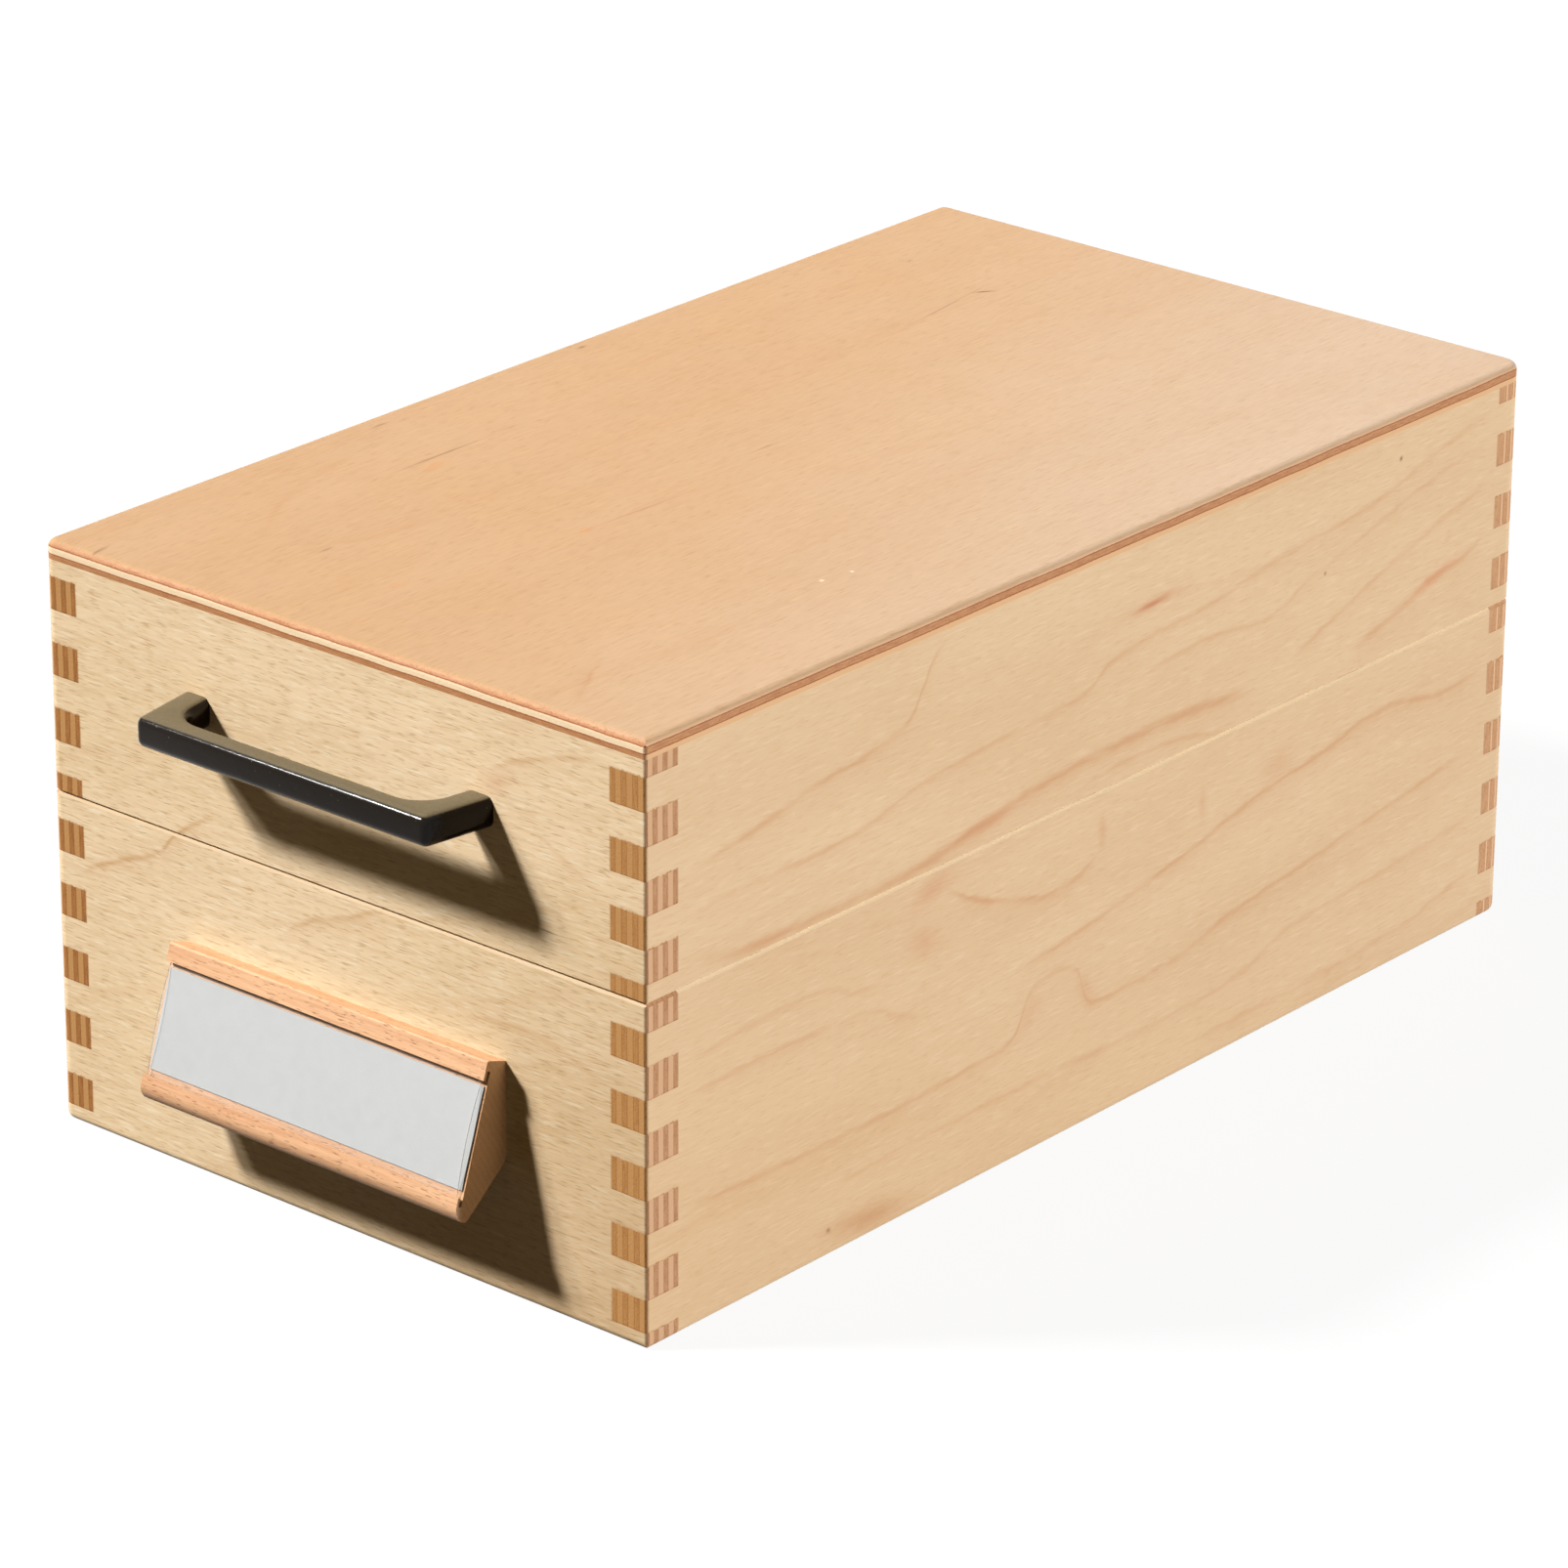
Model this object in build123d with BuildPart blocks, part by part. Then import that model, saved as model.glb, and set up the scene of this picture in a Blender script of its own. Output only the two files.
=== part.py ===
from build123d import *
import math
import os

# Wooden index card box, made for cards of 105 x 74 mm standing on their long edge.
# A finger jointed plywood carcase is glued up closed, then sawn into a base and a lid.
# X runs left to right, Y from the front to the back, Z up.
# The origin is the middle of the underside. All sizes are in millimetres.

os.makedirs("parts", exist_ok=True)

# Box
box_width = 125.0
box_depth = 220.0
base_height = 57.0
lid_wall_height = 39.0
wall = 7.0
top_panel_thickness = 3.0
bottom_panel_thickness = 3.0
rebate_depth = 3.5
panel_gap = 0.1

# Finger joints, set out on the carcase before the saw cut parts it
finger = 5.5
saw_kerf = 3.2

# Sanded edges. The front right corner was hardly touched.
front_right_round = 0.6
front_left_round = 2.2
back_right_round = 3.5
back_left_round = 1.6
foot_round = 1.2
top_round = 1.3
base_rim_chamfer = 0.5
lid_rim_chamfer = 0.35
round_limit = 0.9  # the most that a round takes of the wall or corner that it lies on

# Pull handle
handle_wall_width = 64.6
handle_front_width = 60.4
handle_projection = 12.6
handle_bar_depth = 4.3
handle_leg_width = 5.6
handle_height = 5.2
handle_above_rim = 19.6
handle_inner_round = 4.5
handle_corner_round = 1.2
handle_edge_round = 0.8
handle_screw_inset = 3.4
handle_screw_radius = 1.5
handle_screw_length = 12.0
handle_bore_depth = 6.5
handle_screw_head_radius = 2.75
handle_screw_head_height = 2.0
handle_screw_head_round = 0.65
handle_screw_slot = 0.8
handle_screw_slot_length = 3.6
handle_screw_slot_depth = 1.0
screw_hole_gap = 0.1
bore_gap = 0.02

# Label holder, a moulding glued to the base front a little to the right of the middle
holder_width = 67.0
holder_offset = 0.75
holder_top_above_floor = 39.4
holder_top_depth = 4.2
holder_lean = 18.5
holder_upper_lip = 3.1
holder_window = 18.3
holder_lower_lip = 3.95
holder_nose_depth = 3.0
holder_nose_round = 2.5
holder_back_height = 16.3
holder_back_round = 2.5
holder_lip_thickness = 0.5
holder_slot = 0.6
holder_slot_depth = 1.5
holder_edge_round = 0.4

# Label, flat on its bed, and the clear film that bows over it
label_length = 66.2
label_edge_back = 1.0
label_thickness = 0.2
film_length = 65.7
film_thickness = 0.2
film_gap = 0.05
film_bow = 0.85
slot_end_gap = 0.2

# Butt hinges on the back
hinge_length = 30.0
hinge_inset = 24.5
leaf_thickness = 1.0
leaf_height = 14.0
leaf_corner_round = 1.5
knuckle_radius = 1.9
knuckle_standoff = 0.2
knuckle_count = 5
knuckle_gap = 0.2
leaf_edge_gap = 0.3
pin_radius = 0.9
pin_running_gap = 0.05
pin_overhang = 0.5
pin_chamfer = 0.25
hinge_screw_spread = 18.0
hinge_screw_drop = 8.4
hinge_screw_radius = 1.0
hinge_screw_head_radius = 2.0
hinge_screw_length = 6.5
hinge_screw_slot = 0.5
hinge_screw_slot_depth = 0.4
hinge_screw_tip_chamfer = 0.6

# Card support plate, which slides on runners in grooves of the side boards
groove_height = 4.0
groove_depth = 3.0
groove_above_bottom = 9.0
runner_gap = 0.2
runner_length = 20.0
runner_flange = 1.5
runner_flange_height = 9.0
runner_end_round = 1.2
plate_thickness = 1.0
plate_height = 62.0
plate_lean = 12.0
plate_bend_round = 1.6
plate_corner_round = 9.0
plate_foot_length = 24.0
plate_floor_gap = 0.6
plate_back_gap = 1.0
plate_tab_height = 16.0
plate_tab_length = 22.0
thumb_width = 26.0
thumb_depth = 9.0
rivet_radius = 1.2
rivet_head_radius = 2.2
rivet_head_height = 0.7
rivet_length = 4.2
rivet_pitch = 10.0

# Worked out from the sizes above
half_width = box_width / 2
half_depth = box_depth / 2
carcase_height = base_height + saw_kerf + lid_wall_height
lid_top = base_height + lid_wall_height
inner_width = box_width - 2 * wall
inner_depth = box_depth - 2 * wall
finger_count = int((carcase_height / finger + 1) // 2)
first_finger = (carcase_height - (2 * finger_count - 1) * finger) / 2
smallest_corner = min(front_left_round, back_right_round, back_left_round)
hinge_axis_y = half_depth + knuckle_standoff + knuckle_radius


def side_spans(low, high):
    """Heights of the uncut carcase, within low and high, that the side boards' fingers fill."""
    spans = []
    for i in range(finger_count):
        bottom = max(first_finger + 2 * i * finger, low)
        top = min(first_finger + (2 * i + 1) * finger, high)
        if top > bottom:
            spans.append((bottom, top))
    return spans


def front_spans(low, high):
    """Heights within low and high that the front and back boards' fingers fill."""
    spans = []
    bottom = low
    for side_bottom, side_top in side_spans(low, high):
        if side_bottom > bottom:
            spans.append((bottom, side_bottom))
        bottom = side_top
    if high > bottom:
        spans.append((bottom, high))
    return spans


def lowered(spans):
    """Spans of the uncut lid, brought down onto the base by the width of the saw cut."""
    return [(bottom - saw_kerf, top - saw_kerf) for bottom, top in spans]


def board_outline(length, low, high, notches):
    """A board seen square on, with notches one wall deep at both of its ends."""
    with BuildSketch() as outline:
        with Locations((0, (low + high) / 2)):
            Rectangle(length, high - low)
        for bottom, top in notches:
            end = (length - wall) / 2
            with Locations((-end, (bottom + top) / 2), (end, (bottom + top) / 2)):
                Rectangle(wall, top - bottom, mode=Mode.SUBTRACT)
    return outline.sketch


def carcase_plan():
    """The box seen from above, with its well rounded corners; the front right one is still sharp."""
    corners = (
        (-half_width, -half_depth, front_left_round),
        (half_width, half_depth, back_right_round),
        (-half_width, half_depth, back_left_round),
    )
    with BuildSketch() as plan:
        Rectangle(box_width, box_depth)
        for x, y, radius in corners:
            fillet(plan.vertices().sort_by_distance((x, y))[0], radius)
    return plan.sketch


def broken_corner_plan():
    """The same plan with the front right corner's edge broken, which cuts the blocks to their last shape."""
    with BuildSketch() as plan:
        add(carcase_plan())
        corner = plan.vertices().sort_by_distance((half_width, -half_depth))[0]
        fillet(corner, front_right_round)
    return plan.sketch


def front_point(projection, height):
    """A point in the YZ plane, given by how far it stands out from the front board."""
    return (-half_depth - projection, height)


base_low_notches = side_spans(0, base_height)
base_side_notches = front_spans(0, base_height)
lid_low = base_height + saw_kerf
lid_front_notches = lowered(side_spans(lid_low, carcase_height))
lid_side_notches = lowered(front_spans(lid_low, carcase_height))

front_plane = Plane.XZ.offset(half_depth)
back_plane = Plane.XZ.offset(-half_depth)
right_plane = Plane.YZ.offset(half_width)
left_plane = Plane.YZ.offset(-half_width)

# The sanded outer shapes of the base and of the lid walls, which the boards are cut to
with BuildPart() as base_block:
    with BuildSketch():
        add(carcase_plan())
    extrude(amount=base_height)
    fillet(base_block.faces().sort_by(Axis.Z)[0].edges(), min(foot_round, round_limit * smallest_corner))
    chamfer(base_block.faces().sort_by(Axis.Z)[-1].edges(), base_rim_chamfer)
    with BuildSketch():
        add(broken_corner_plan())
    extrude(amount=base_height, mode=Mode.INTERSECT)

with BuildPart() as lid_block:
    with BuildSketch(Plane.XY.offset(base_height)):
        add(carcase_plan())
    extrude(amount=lid_wall_height)
    chamfer(lid_block.faces().sort_by(Axis.Z)[0].edges(), lid_rim_chamfer)
    with BuildSketch(Plane.XY.offset(base_height)):
        add(broken_corner_plan())
    extrude(amount=lid_wall_height, mode=Mode.INTERSECT)

# The rebate round the underside that takes the bottom panel
rebate_width = box_width - 2 * (wall - rebate_depth)
rebate_length = box_depth - 2 * (wall - rebate_depth)
with BuildPart() as rebate:
    with BuildSketch():
        Rectangle(rebate_width, rebate_length)
    extrude(amount=bottom_panel_thickness)

# The grooves in the side boards that guide the card support
groove_middle = bottom_panel_thickness + groove_above_bottom + groove_height / 2
with BuildPart() as runner_grooves:
    with BuildSketch(Plane.XZ.offset(-inner_depth / 2)):
        with Locations((0, groove_middle)):
            Rectangle(inner_width + 2 * groove_depth, groove_height)
    extrude(amount=inner_depth)

# Where the screws go
hinge_middle_x = half_width - hinge_inset
hinge_screw_offsets = (hinge_screw_spread / 2, -hinge_screw_spread / 2)
hinge_screw_xs = [side * hinge_middle_x + offset for side in (-1, 1) for offset in hinge_screw_offsets]
handle_screw_x = handle_wall_width / 2 - handle_screw_inset
handle_middle = base_height + handle_above_rim + handle_height / 2
pilot_depth = hinge_screw_length - leaf_thickness + bore_gap

# Base boards
with BuildPart() as base_front_board:
    with BuildSketch(front_plane):
        add(board_outline(box_width, 0, base_height, base_low_notches))
    extrude(amount=-wall)
    add(base_block.part, mode=Mode.INTERSECT)
    add(rebate.part, mode=Mode.SUBTRACT)
base_front_board.part.label = "base_front_board"
export_step(base_front_board.part, "parts/base_front_board.step")

with BuildPart() as base_back_board:
    with BuildSketch(back_plane):
        add(board_outline(box_width, 0, base_height, base_low_notches))
    extrude(amount=wall)
    add(base_block.part, mode=Mode.INTERSECT)
    add(rebate.part, mode=Mode.SUBTRACT)
    with BuildSketch(back_plane):
        with Locations(*[(x, base_height - hinge_screw_drop) for x in hinge_screw_xs]):
            Circle(hinge_screw_radius + bore_gap)
    extrude(amount=pilot_depth, mode=Mode.SUBTRACT)
base_back_board.part.label = "base_back_board"
export_step(base_back_board.part, "parts/base_back_board.step")

with BuildPart() as base_left_board:
    with BuildSketch(left_plane):
        add(board_outline(box_depth, 0, base_height, base_side_notches))
    extrude(amount=wall)
    add(base_block.part, mode=Mode.INTERSECT)
    add(rebate.part, mode=Mode.SUBTRACT)
    add(runner_grooves.part, mode=Mode.SUBTRACT)
base_left_board.part.label = "base_left_board"
export_step(base_left_board.part, "parts/base_left_board.step")

with BuildPart() as base_right_board:
    with BuildSketch(right_plane):
        add(board_outline(box_depth, 0, base_height, base_side_notches))
    extrude(amount=-wall)
    add(base_block.part, mode=Mode.INTERSECT)
    add(rebate.part, mode=Mode.SUBTRACT)
    add(runner_grooves.part, mode=Mode.SUBTRACT)
base_right_board.part.label = "base_right_board"
export_step(base_right_board.part, "parts/base_right_board.step")

with BuildPart() as base_bottom_panel:
    with BuildSketch():
        Rectangle(rebate_width - 2 * panel_gap, rebate_length - 2 * panel_gap)
    extrude(amount=bottom_panel_thickness)
base_bottom_panel.part.label = "base_bottom_panel"
export_step(base_bottom_panel.part, "parts/base_bottom_panel.step")

# Lid boards
with BuildPart() as lid_front_board:
    with BuildSketch(front_plane):
        add(board_outline(box_width, base_height, lid_top, lid_front_notches))
    extrude(amount=-wall)
    add(lid_block.part, mode=Mode.INTERSECT)
    with BuildSketch(front_plane):
        with Locations((-handle_screw_x, handle_middle), (handle_screw_x, handle_middle)):
            Circle(handle_screw_radius + screw_hole_gap)
    extrude(amount=-wall, mode=Mode.SUBTRACT)
lid_front_board.part.label = "lid_front_board"
export_step(lid_front_board.part, "parts/lid_front_board.step")

with BuildPart() as lid_back_board:
    with BuildSketch(back_plane):
        add(board_outline(box_width, base_height, lid_top, lid_front_notches))
    extrude(amount=wall)
    add(lid_block.part, mode=Mode.INTERSECT)
    with BuildSketch(back_plane):
        with Locations(*[(x, base_height + hinge_screw_drop) for x in hinge_screw_xs]):
            Circle(hinge_screw_radius + bore_gap)
    extrude(amount=pilot_depth, mode=Mode.SUBTRACT)
lid_back_board.part.label = "lid_back_board"
export_step(lid_back_board.part, "parts/lid_back_board.step")

with BuildPart() as lid_left_board:
    with BuildSketch(left_plane):
        add(board_outline(box_depth, base_height, lid_top, lid_side_notches))
    extrude(amount=wall)
    add(lid_block.part, mode=Mode.INTERSECT)
lid_left_board.part.label = "lid_left_board"
export_step(lid_left_board.part, "parts/lid_left_board.step")

with BuildPart() as lid_right_board:
    with BuildSketch(right_plane):
        add(board_outline(box_depth, base_height, lid_top, lid_side_notches))
    extrude(amount=-wall)
    add(lid_block.part, mode=Mode.INTERSECT)
lid_right_board.part.label = "lid_right_board"
export_step(lid_right_board.part, "parts/lid_right_board.step")

with BuildPart() as lid_top_panel:
    with BuildSketch(Plane.XY.offset(lid_top)):
        add(carcase_plan())
    extrude(amount=top_panel_thickness)
    top_edges = lid_top_panel.faces().sort_by(Axis.Z)[-1].edges()
    fillet(top_edges, min(top_round, round_limit * min(smallest_corner, top_panel_thickness)))
    with BuildSketch(Plane.XY.offset(lid_top)):
        add(broken_corner_plan())
    extrude(amount=top_panel_thickness, mode=Mode.INTERSECT)
lid_top_panel.part.label = "lid_top_panel"
export_step(lid_top_panel.part, "parts/lid_top_panel.step")

# Pull handle, a bow whose legs lean a little inward
handle_bottom = base_height + handle_above_rim
wall_half = handle_wall_width / 2
front_half = handle_front_width / 2
lean_per_depth = (wall_half - front_half) / handle_projection
inner_reach = handle_projection - handle_bar_depth
inner_wall_half = wall_half - handle_leg_width
inner_front_half = inner_wall_half - lean_per_depth * inner_reach
with BuildPart() as handle:
    with BuildSketch(Plane.XY.offset(handle_bottom)) as bow:
        with BuildLine():
            Polyline(
                (-wall_half, -half_depth),
                (-front_half, -half_depth - handle_projection),
                (front_half, -half_depth - handle_projection),
                (wall_half, -half_depth),
                (inner_wall_half, -half_depth),
                (inner_front_half, -half_depth - inner_reach),
                (-inner_front_half, -half_depth - inner_reach),
                (-inner_wall_half, -half_depth),
                close=True,
            )
        make_face()
        for x in (-inner_front_half, inner_front_half):
            inner = bow.vertices().sort_by_distance((x, -half_depth - inner_reach))[0]
            fillet(inner, handle_inner_round)
        for x in (-front_half, front_half):
            outer = bow.vertices().sort_by_distance((x, -half_depth - handle_projection))[0]
            fillet(outer, handle_corner_round)
    extrude(amount=handle_height)
    level_edges = handle.faces().filter_by(Axis.Z).edges()
    rounded = level_edges.filter_by(lambda edge: edge.center().Y < -half_depth - bore_gap)
    fillet(rounded, handle_edge_round)
    with BuildSketch(front_plane):
        with Locations((-handle_screw_x, handle_middle), (handle_screw_x, handle_middle)):
            Circle(handle_screw_radius + bore_gap)
    extrude(amount=handle_bore_depth, mode=Mode.SUBTRACT)
handle.part.label = "handle"
export_step(handle.part, "parts/handle.step")

# Pan head screws, from inside the lid through the front board into the handle's legs
inner_front_plane = front_plane.offset(-wall)
with BuildPart() as handle_screws:
    with BuildSketch(inner_front_plane):
        with Locations((-handle_screw_x, handle_middle), (handle_screw_x, handle_middle)):
            Circle(handle_screw_radius)
    extrude(amount=handle_screw_length)
    with BuildSketch(inner_front_plane):
        with Locations((-handle_screw_x, handle_middle), (handle_screw_x, handle_middle)):
            Circle(handle_screw_head_radius)
    extrude(amount=-handle_screw_head_height)
    head_faces = handle_screws.faces().filter_by(Axis.Y).sort_by(Axis.Y)[-2:]
    fillet(head_faces.edges(), min(handle_screw_head_round, round_limit * handle_screw_head_height))
    with BuildSketch(inner_front_plane.offset(-handle_screw_head_height)):
        with Locations((-handle_screw_x, handle_middle), (handle_screw_x, handle_middle)):
            Rectangle(handle_screw_slot_length, handle_screw_slot)
            Rectangle(handle_screw_slot, handle_screw_slot_length)
    extrude(amount=handle_screw_slot_depth, mode=Mode.SUBTRACT)
handle_screws.part.label = "handle_screws"
export_step(handle_screws.part, "parts/handle_screws.step")

# Label holder. Its face leans back, and lips at the top and bottom hold the film in slots.
lean = math.radians(holder_lean)
up_slope = Vector(math.sin(lean), math.cos(lean))
outward = Vector(-math.cos(lean), math.sin(lean))
back_top = Vector(*front_point(0, holder_top_above_floor))
back_bottom = Vector(*front_point(0, holder_top_above_floor - holder_back_height))
face_top = back_top + outward * holder_top_depth
face_bottom = face_top - up_slope * (holder_upper_lip + holder_window + holder_lower_lip)
nose_tip = face_bottom - outward * holder_nose_depth
window_middle = face_top - up_slope * (holder_upper_lip + holder_window / 2)
face_angle = 90 - holder_lean
slot_length = holder_window + 2 * holder_slot_depth
bed_depth = holder_lip_thickness + holder_slot
holder_rounds = (
    (face_top, holder_edge_round),
    (face_bottom, min(holder_nose_round, round_limit * holder_nose_depth)),
    (nose_tip, holder_edge_round),
    (back_bottom, holder_back_round),
)
with BuildPart() as label_holder:
    with BuildSketch(Plane.YZ.offset(holder_offset - holder_width / 2)) as section:
        with BuildLine():
            Polyline(back_top, face_top, face_bottom, nose_tip, back_bottom, close=True)
        make_face()
        for corner, radius in holder_rounds:
            fillet(section.vertices().sort_by_distance((corner.X, corner.Y))[0], radius)
        window = window_middle - outward * bed_depth / 2
        with Locations(Location((window.X, window.Y, 0), (0, 0, face_angle))):
            Rectangle(holder_window, bed_depth, mode=Mode.SUBTRACT)
        slot = window_middle - outward * (holder_lip_thickness + holder_slot / 2)
        with Locations(Location((slot.X, slot.Y, 0), (0, 0, face_angle))):
            Rectangle(slot_length, holder_slot, mode=Mode.SUBTRACT)
    extrude(amount=holder_width)
label_holder.part.label = "label_holder"
export_step(label_holder.part, "parts/label_holder.step")

# The label lies flat between the lips. The film's ends are in the slots, and it bows clear of the label.
bed = window_middle - outward * bed_depth
label_plane = Plane.YZ.offset(holder_offset - label_length / 2)
label_middle = bed + outward * (film_gap + label_thickness / 2)
with BuildPart() as paper_label:
    with BuildSketch(label_plane):
        with Locations(Location((label_middle.X, label_middle.Y, 0), (0, 0, face_angle))):
            Rectangle(holder_window - 2 * label_edge_back, label_thickness)
    extrude(amount=label_length)
paper_label.part.label = "paper_label"
export_step(paper_label.part, "parts/paper_label.step")

film_reach = up_slope * (slot_length / 2 - slot_end_gap)
film_under = bed + outward * film_gap
film_over = film_under + outward * film_thickness
with BuildPart() as label_film:
    with BuildSketch(label_plane):
        with BuildLine():
            under = ThreePointArc(
                film_under - film_reach, film_under + outward * film_bow, film_under + film_reach
            )
            over = ThreePointArc(
                film_over - film_reach, film_over + outward * film_bow, film_over + film_reach
            )
            Line(under @ 0, over @ 0)
            Line(under @ 1, over @ 1)
        make_face()
    extrude(amount=film_length)
label_film.part.label = "label_film"
export_step(label_film.part, "parts/label_film.step")

# Butt hinges, screwed to the back of the base and of the lid
knuckle_pitch = hinge_length / knuckle_count
knuckle_length = knuckle_pitch - knuckle_gap
leaf_slot = knuckle_radius + leaf_edge_gap


def hinge_leaf(middle_x, up, first_knuckle, bore_radius):
    """One leaf with every second knuckle; up is 1 for the lid's leaf and -1 for the base's."""
    low_end = middle_x - hinge_length / 2
    knuckles = range(first_knuckle, knuckle_count, 2)
    knuckle_xs = [low_end + (i + 0.5) * knuckle_pitch for i in knuckles]
    plate_near = base_height + up * leaf_slot
    plate_far = base_height + up * leaf_height
    tab_far = base_height + up * (leaf_slot + leaf_corner_round)
    screw_z = base_height + up * hinge_screw_drop
    screw_facing = (-90, 0, 0)
    screw_places = [
        Location((middle_x + offset, half_depth + leaf_thickness, screw_z), screw_facing)
        for offset in hinge_screw_offsets
    ]
    with BuildPart() as leaf:
        with BuildSketch(back_plane) as outline:
            with Locations((middle_x, (plate_near + plate_far) / 2)):
                Rectangle(hinge_length, leaf_height - leaf_slot)
            for x in (low_end, low_end + hinge_length):
                fillet(outline.vertices().sort_by_distance((x, plate_far))[0], leaf_corner_round)
            with Locations(*[(x, (base_height + tab_far) / 2) for x in knuckle_xs]):
                Rectangle(knuckle_length, abs(tab_far - base_height))
        extrude(amount=-leaf_thickness)
        for x in knuckle_xs:
            with BuildSketch(Plane.YZ.offset(x - knuckle_length / 2)):
                with Locations((hinge_axis_y, base_height)):
                    Circle(knuckle_radius)
            extrude(amount=knuckle_length)
        with BuildSketch(Plane.YZ.offset(low_end)):
            with Locations((hinge_axis_y, base_height)):
                Circle(bore_radius)
        extrude(amount=hinge_length, mode=Mode.SUBTRACT)
        with Locations(*screw_places):
            hole_radius = hinge_screw_radius + bore_gap
            CounterSinkHole(hole_radius, hinge_screw_head_radius + bore_gap, leaf_thickness)
    return leaf.part


def hinge_screws(up):
    """The countersunk screws of both hinges in the base or the lid, with a slot in each head."""
    screw_z = base_height + up * hinge_screw_drop
    head_plane = back_plane.offset(-leaf_thickness)
    places = [(x, screw_z) for x in hinge_screw_xs]
    cone_height = hinge_screw_head_radius - hinge_screw_radius
    with BuildPart() as screws:
        with BuildSketch(head_plane):
            with Locations(*places):
                Circle(hinge_screw_radius)
        extrude(amount=hinge_screw_length)
        with BuildSketch(head_plane):
            with Locations(*places):
                Circle(hinge_screw_head_radius)
        extrude(amount=cone_height, taper=45)
        with BuildSketch(head_plane):
            with Locations(*places):
                Rectangle(2 * hinge_screw_head_radius, hinge_screw_slot)
        extrude(amount=hinge_screw_slot_depth, mode=Mode.SUBTRACT)
        tips = screws.faces().filter_by(Axis.Y).sort_by(Axis.Y)[:len(places)]
        chamfer(tips.edges(), min(hinge_screw_tip_chamfer, round_limit * hinge_screw_radius))
    return screws.part


for side, name in ((-1, "left"), (1, "right")):
    middle = side * hinge_middle_x
    with BuildPart() as base_leaf:
        add(hinge_leaf(middle, -1, 0, pin_radius + bore_gap / 2))
    base_leaf.part.label = name + "_hinge_base_leaf"
    export_step(base_leaf.part, "parts/" + name + "_hinge_base_leaf.step")

    with BuildPart() as lid_leaf:
        add(hinge_leaf(middle, 1, 1, pin_radius + pin_running_gap))
    lid_leaf.part.label = name + "_hinge_lid_leaf"
    export_step(lid_leaf.part, "parts/" + name + "_hinge_lid_leaf.step")

    with BuildPart() as pin:
        with BuildSketch(Plane.YZ.offset(middle - hinge_length / 2 - pin_overhang)):
            with Locations((hinge_axis_y, base_height)):
                Circle(pin_radius)
        extrude(amount=hinge_length + 2 * pin_overhang)
        pin_ends = pin.faces().filter_by(Axis.X)
        chamfer(pin_ends.edges(), min(pin_chamfer, round_limit * pin_radius))
    pin.part.label = name + "_hinge_pin"
    export_step(pin.part, "parts/" + name + "_hinge_pin.step")

with BuildPart() as base_hinge_screws:
    add(hinge_screws(-1))
base_hinge_screws.part.label = "base_hinge_screws"
export_step(base_hinge_screws.part, "parts/base_hinge_screws.step")

with BuildPart() as lid_hinge_screws:
    add(hinge_screws(1))
lid_hinge_screws.part.label = "lid_hinge_screws"
export_step(lid_hinge_screws.part, "parts/lid_hinge_screws.step")

# Card support: a bent steel plate that leans back, with a foot and a riveted runner on each side
tilt = math.radians(plate_lean)
plate_width = inner_width - 2 * (runner_gap + runner_flange)
foot_back = inner_depth / 2 - plate_back_gap
foot_front = foot_back - plate_foot_length
foot_under = bottom_panel_thickness + plate_floor_gap
plate_top_y = foot_front + plate_height * math.sin(tilt)
plate_top_z = foot_under + plate_height * math.cos(tilt)
runner_back = foot_front + plate_tab_length
runner_middle_y = runner_back - runner_length / 2
rivet_places = (
    (runner_middle_y - rivet_pitch / 2, groove_middle),
    (runner_middle_y + rivet_pitch / 2, groove_middle),
)
tab_top = foot_under + plate_tab_height
tab_front = foot_front + plate_bend_round
tab_top_front = tab_front + plate_tab_height * math.tan(tilt)
upright_plane = Plane(
    origin=(0, foot_front, foot_under),
    x_dir=(1, 0, 0),
    z_dir=(0, -math.cos(tilt), math.sin(tilt)),
)
with BuildPart() as support_plate:
    with BuildSketch(Plane.YZ.offset(-plate_width / 2)):
        with BuildLine():
            FilletPolyline(
                (foot_back, foot_under),
                (foot_front, foot_under),
                (plate_top_y, plate_top_z),
                radius=plate_bend_round + plate_thickness,
            )
            offset(amount=plate_thickness, side=Side.RIGHT)
        make_face()
    extrude(amount=plate_width)
    with BuildSketch(upright_plane):
        with Locations((-plate_width / 2, plate_height), (plate_width / 2, plate_height)):
            Rectangle(2 * plate_corner_round, 2 * plate_corner_round)
        with Locations(
            (-plate_width / 2 + plate_corner_round, plate_height - plate_corner_round),
            (plate_width / 2 - plate_corner_round, plate_height - plate_corner_round),
        ):
            Circle(plate_corner_round, mode=Mode.SUBTRACT)
        with Locations((0, plate_height)):
            SlotOverall(thumb_width, 2 * thumb_depth)
    extrude(amount=-2 * plate_thickness, both=True, mode=Mode.SUBTRACT)
    for inner_x in (-plate_width / 2, plate_width / 2 - plate_thickness):
        with BuildSketch(Plane.YZ.offset(inner_x)):
            with BuildLine():
                Polyline(
                    (tab_front, foot_under),
                    (runner_back, foot_under),
                    (runner_back, tab_top),
                    (tab_top_front, tab_top),
                    close=True,
                )
            make_face()
            with Locations(*rivet_places):
                Circle(rivet_radius + bore_gap, mode=Mode.SUBTRACT)
        extrude(amount=plate_thickness)
support_plate.part.label = "support_plate"
export_step(support_plate.part, "parts/support_plate.step")

# Runners, each a flange against the board and a tongue in its groove
tongue_height = groove_height - 2 * runner_gap


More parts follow.
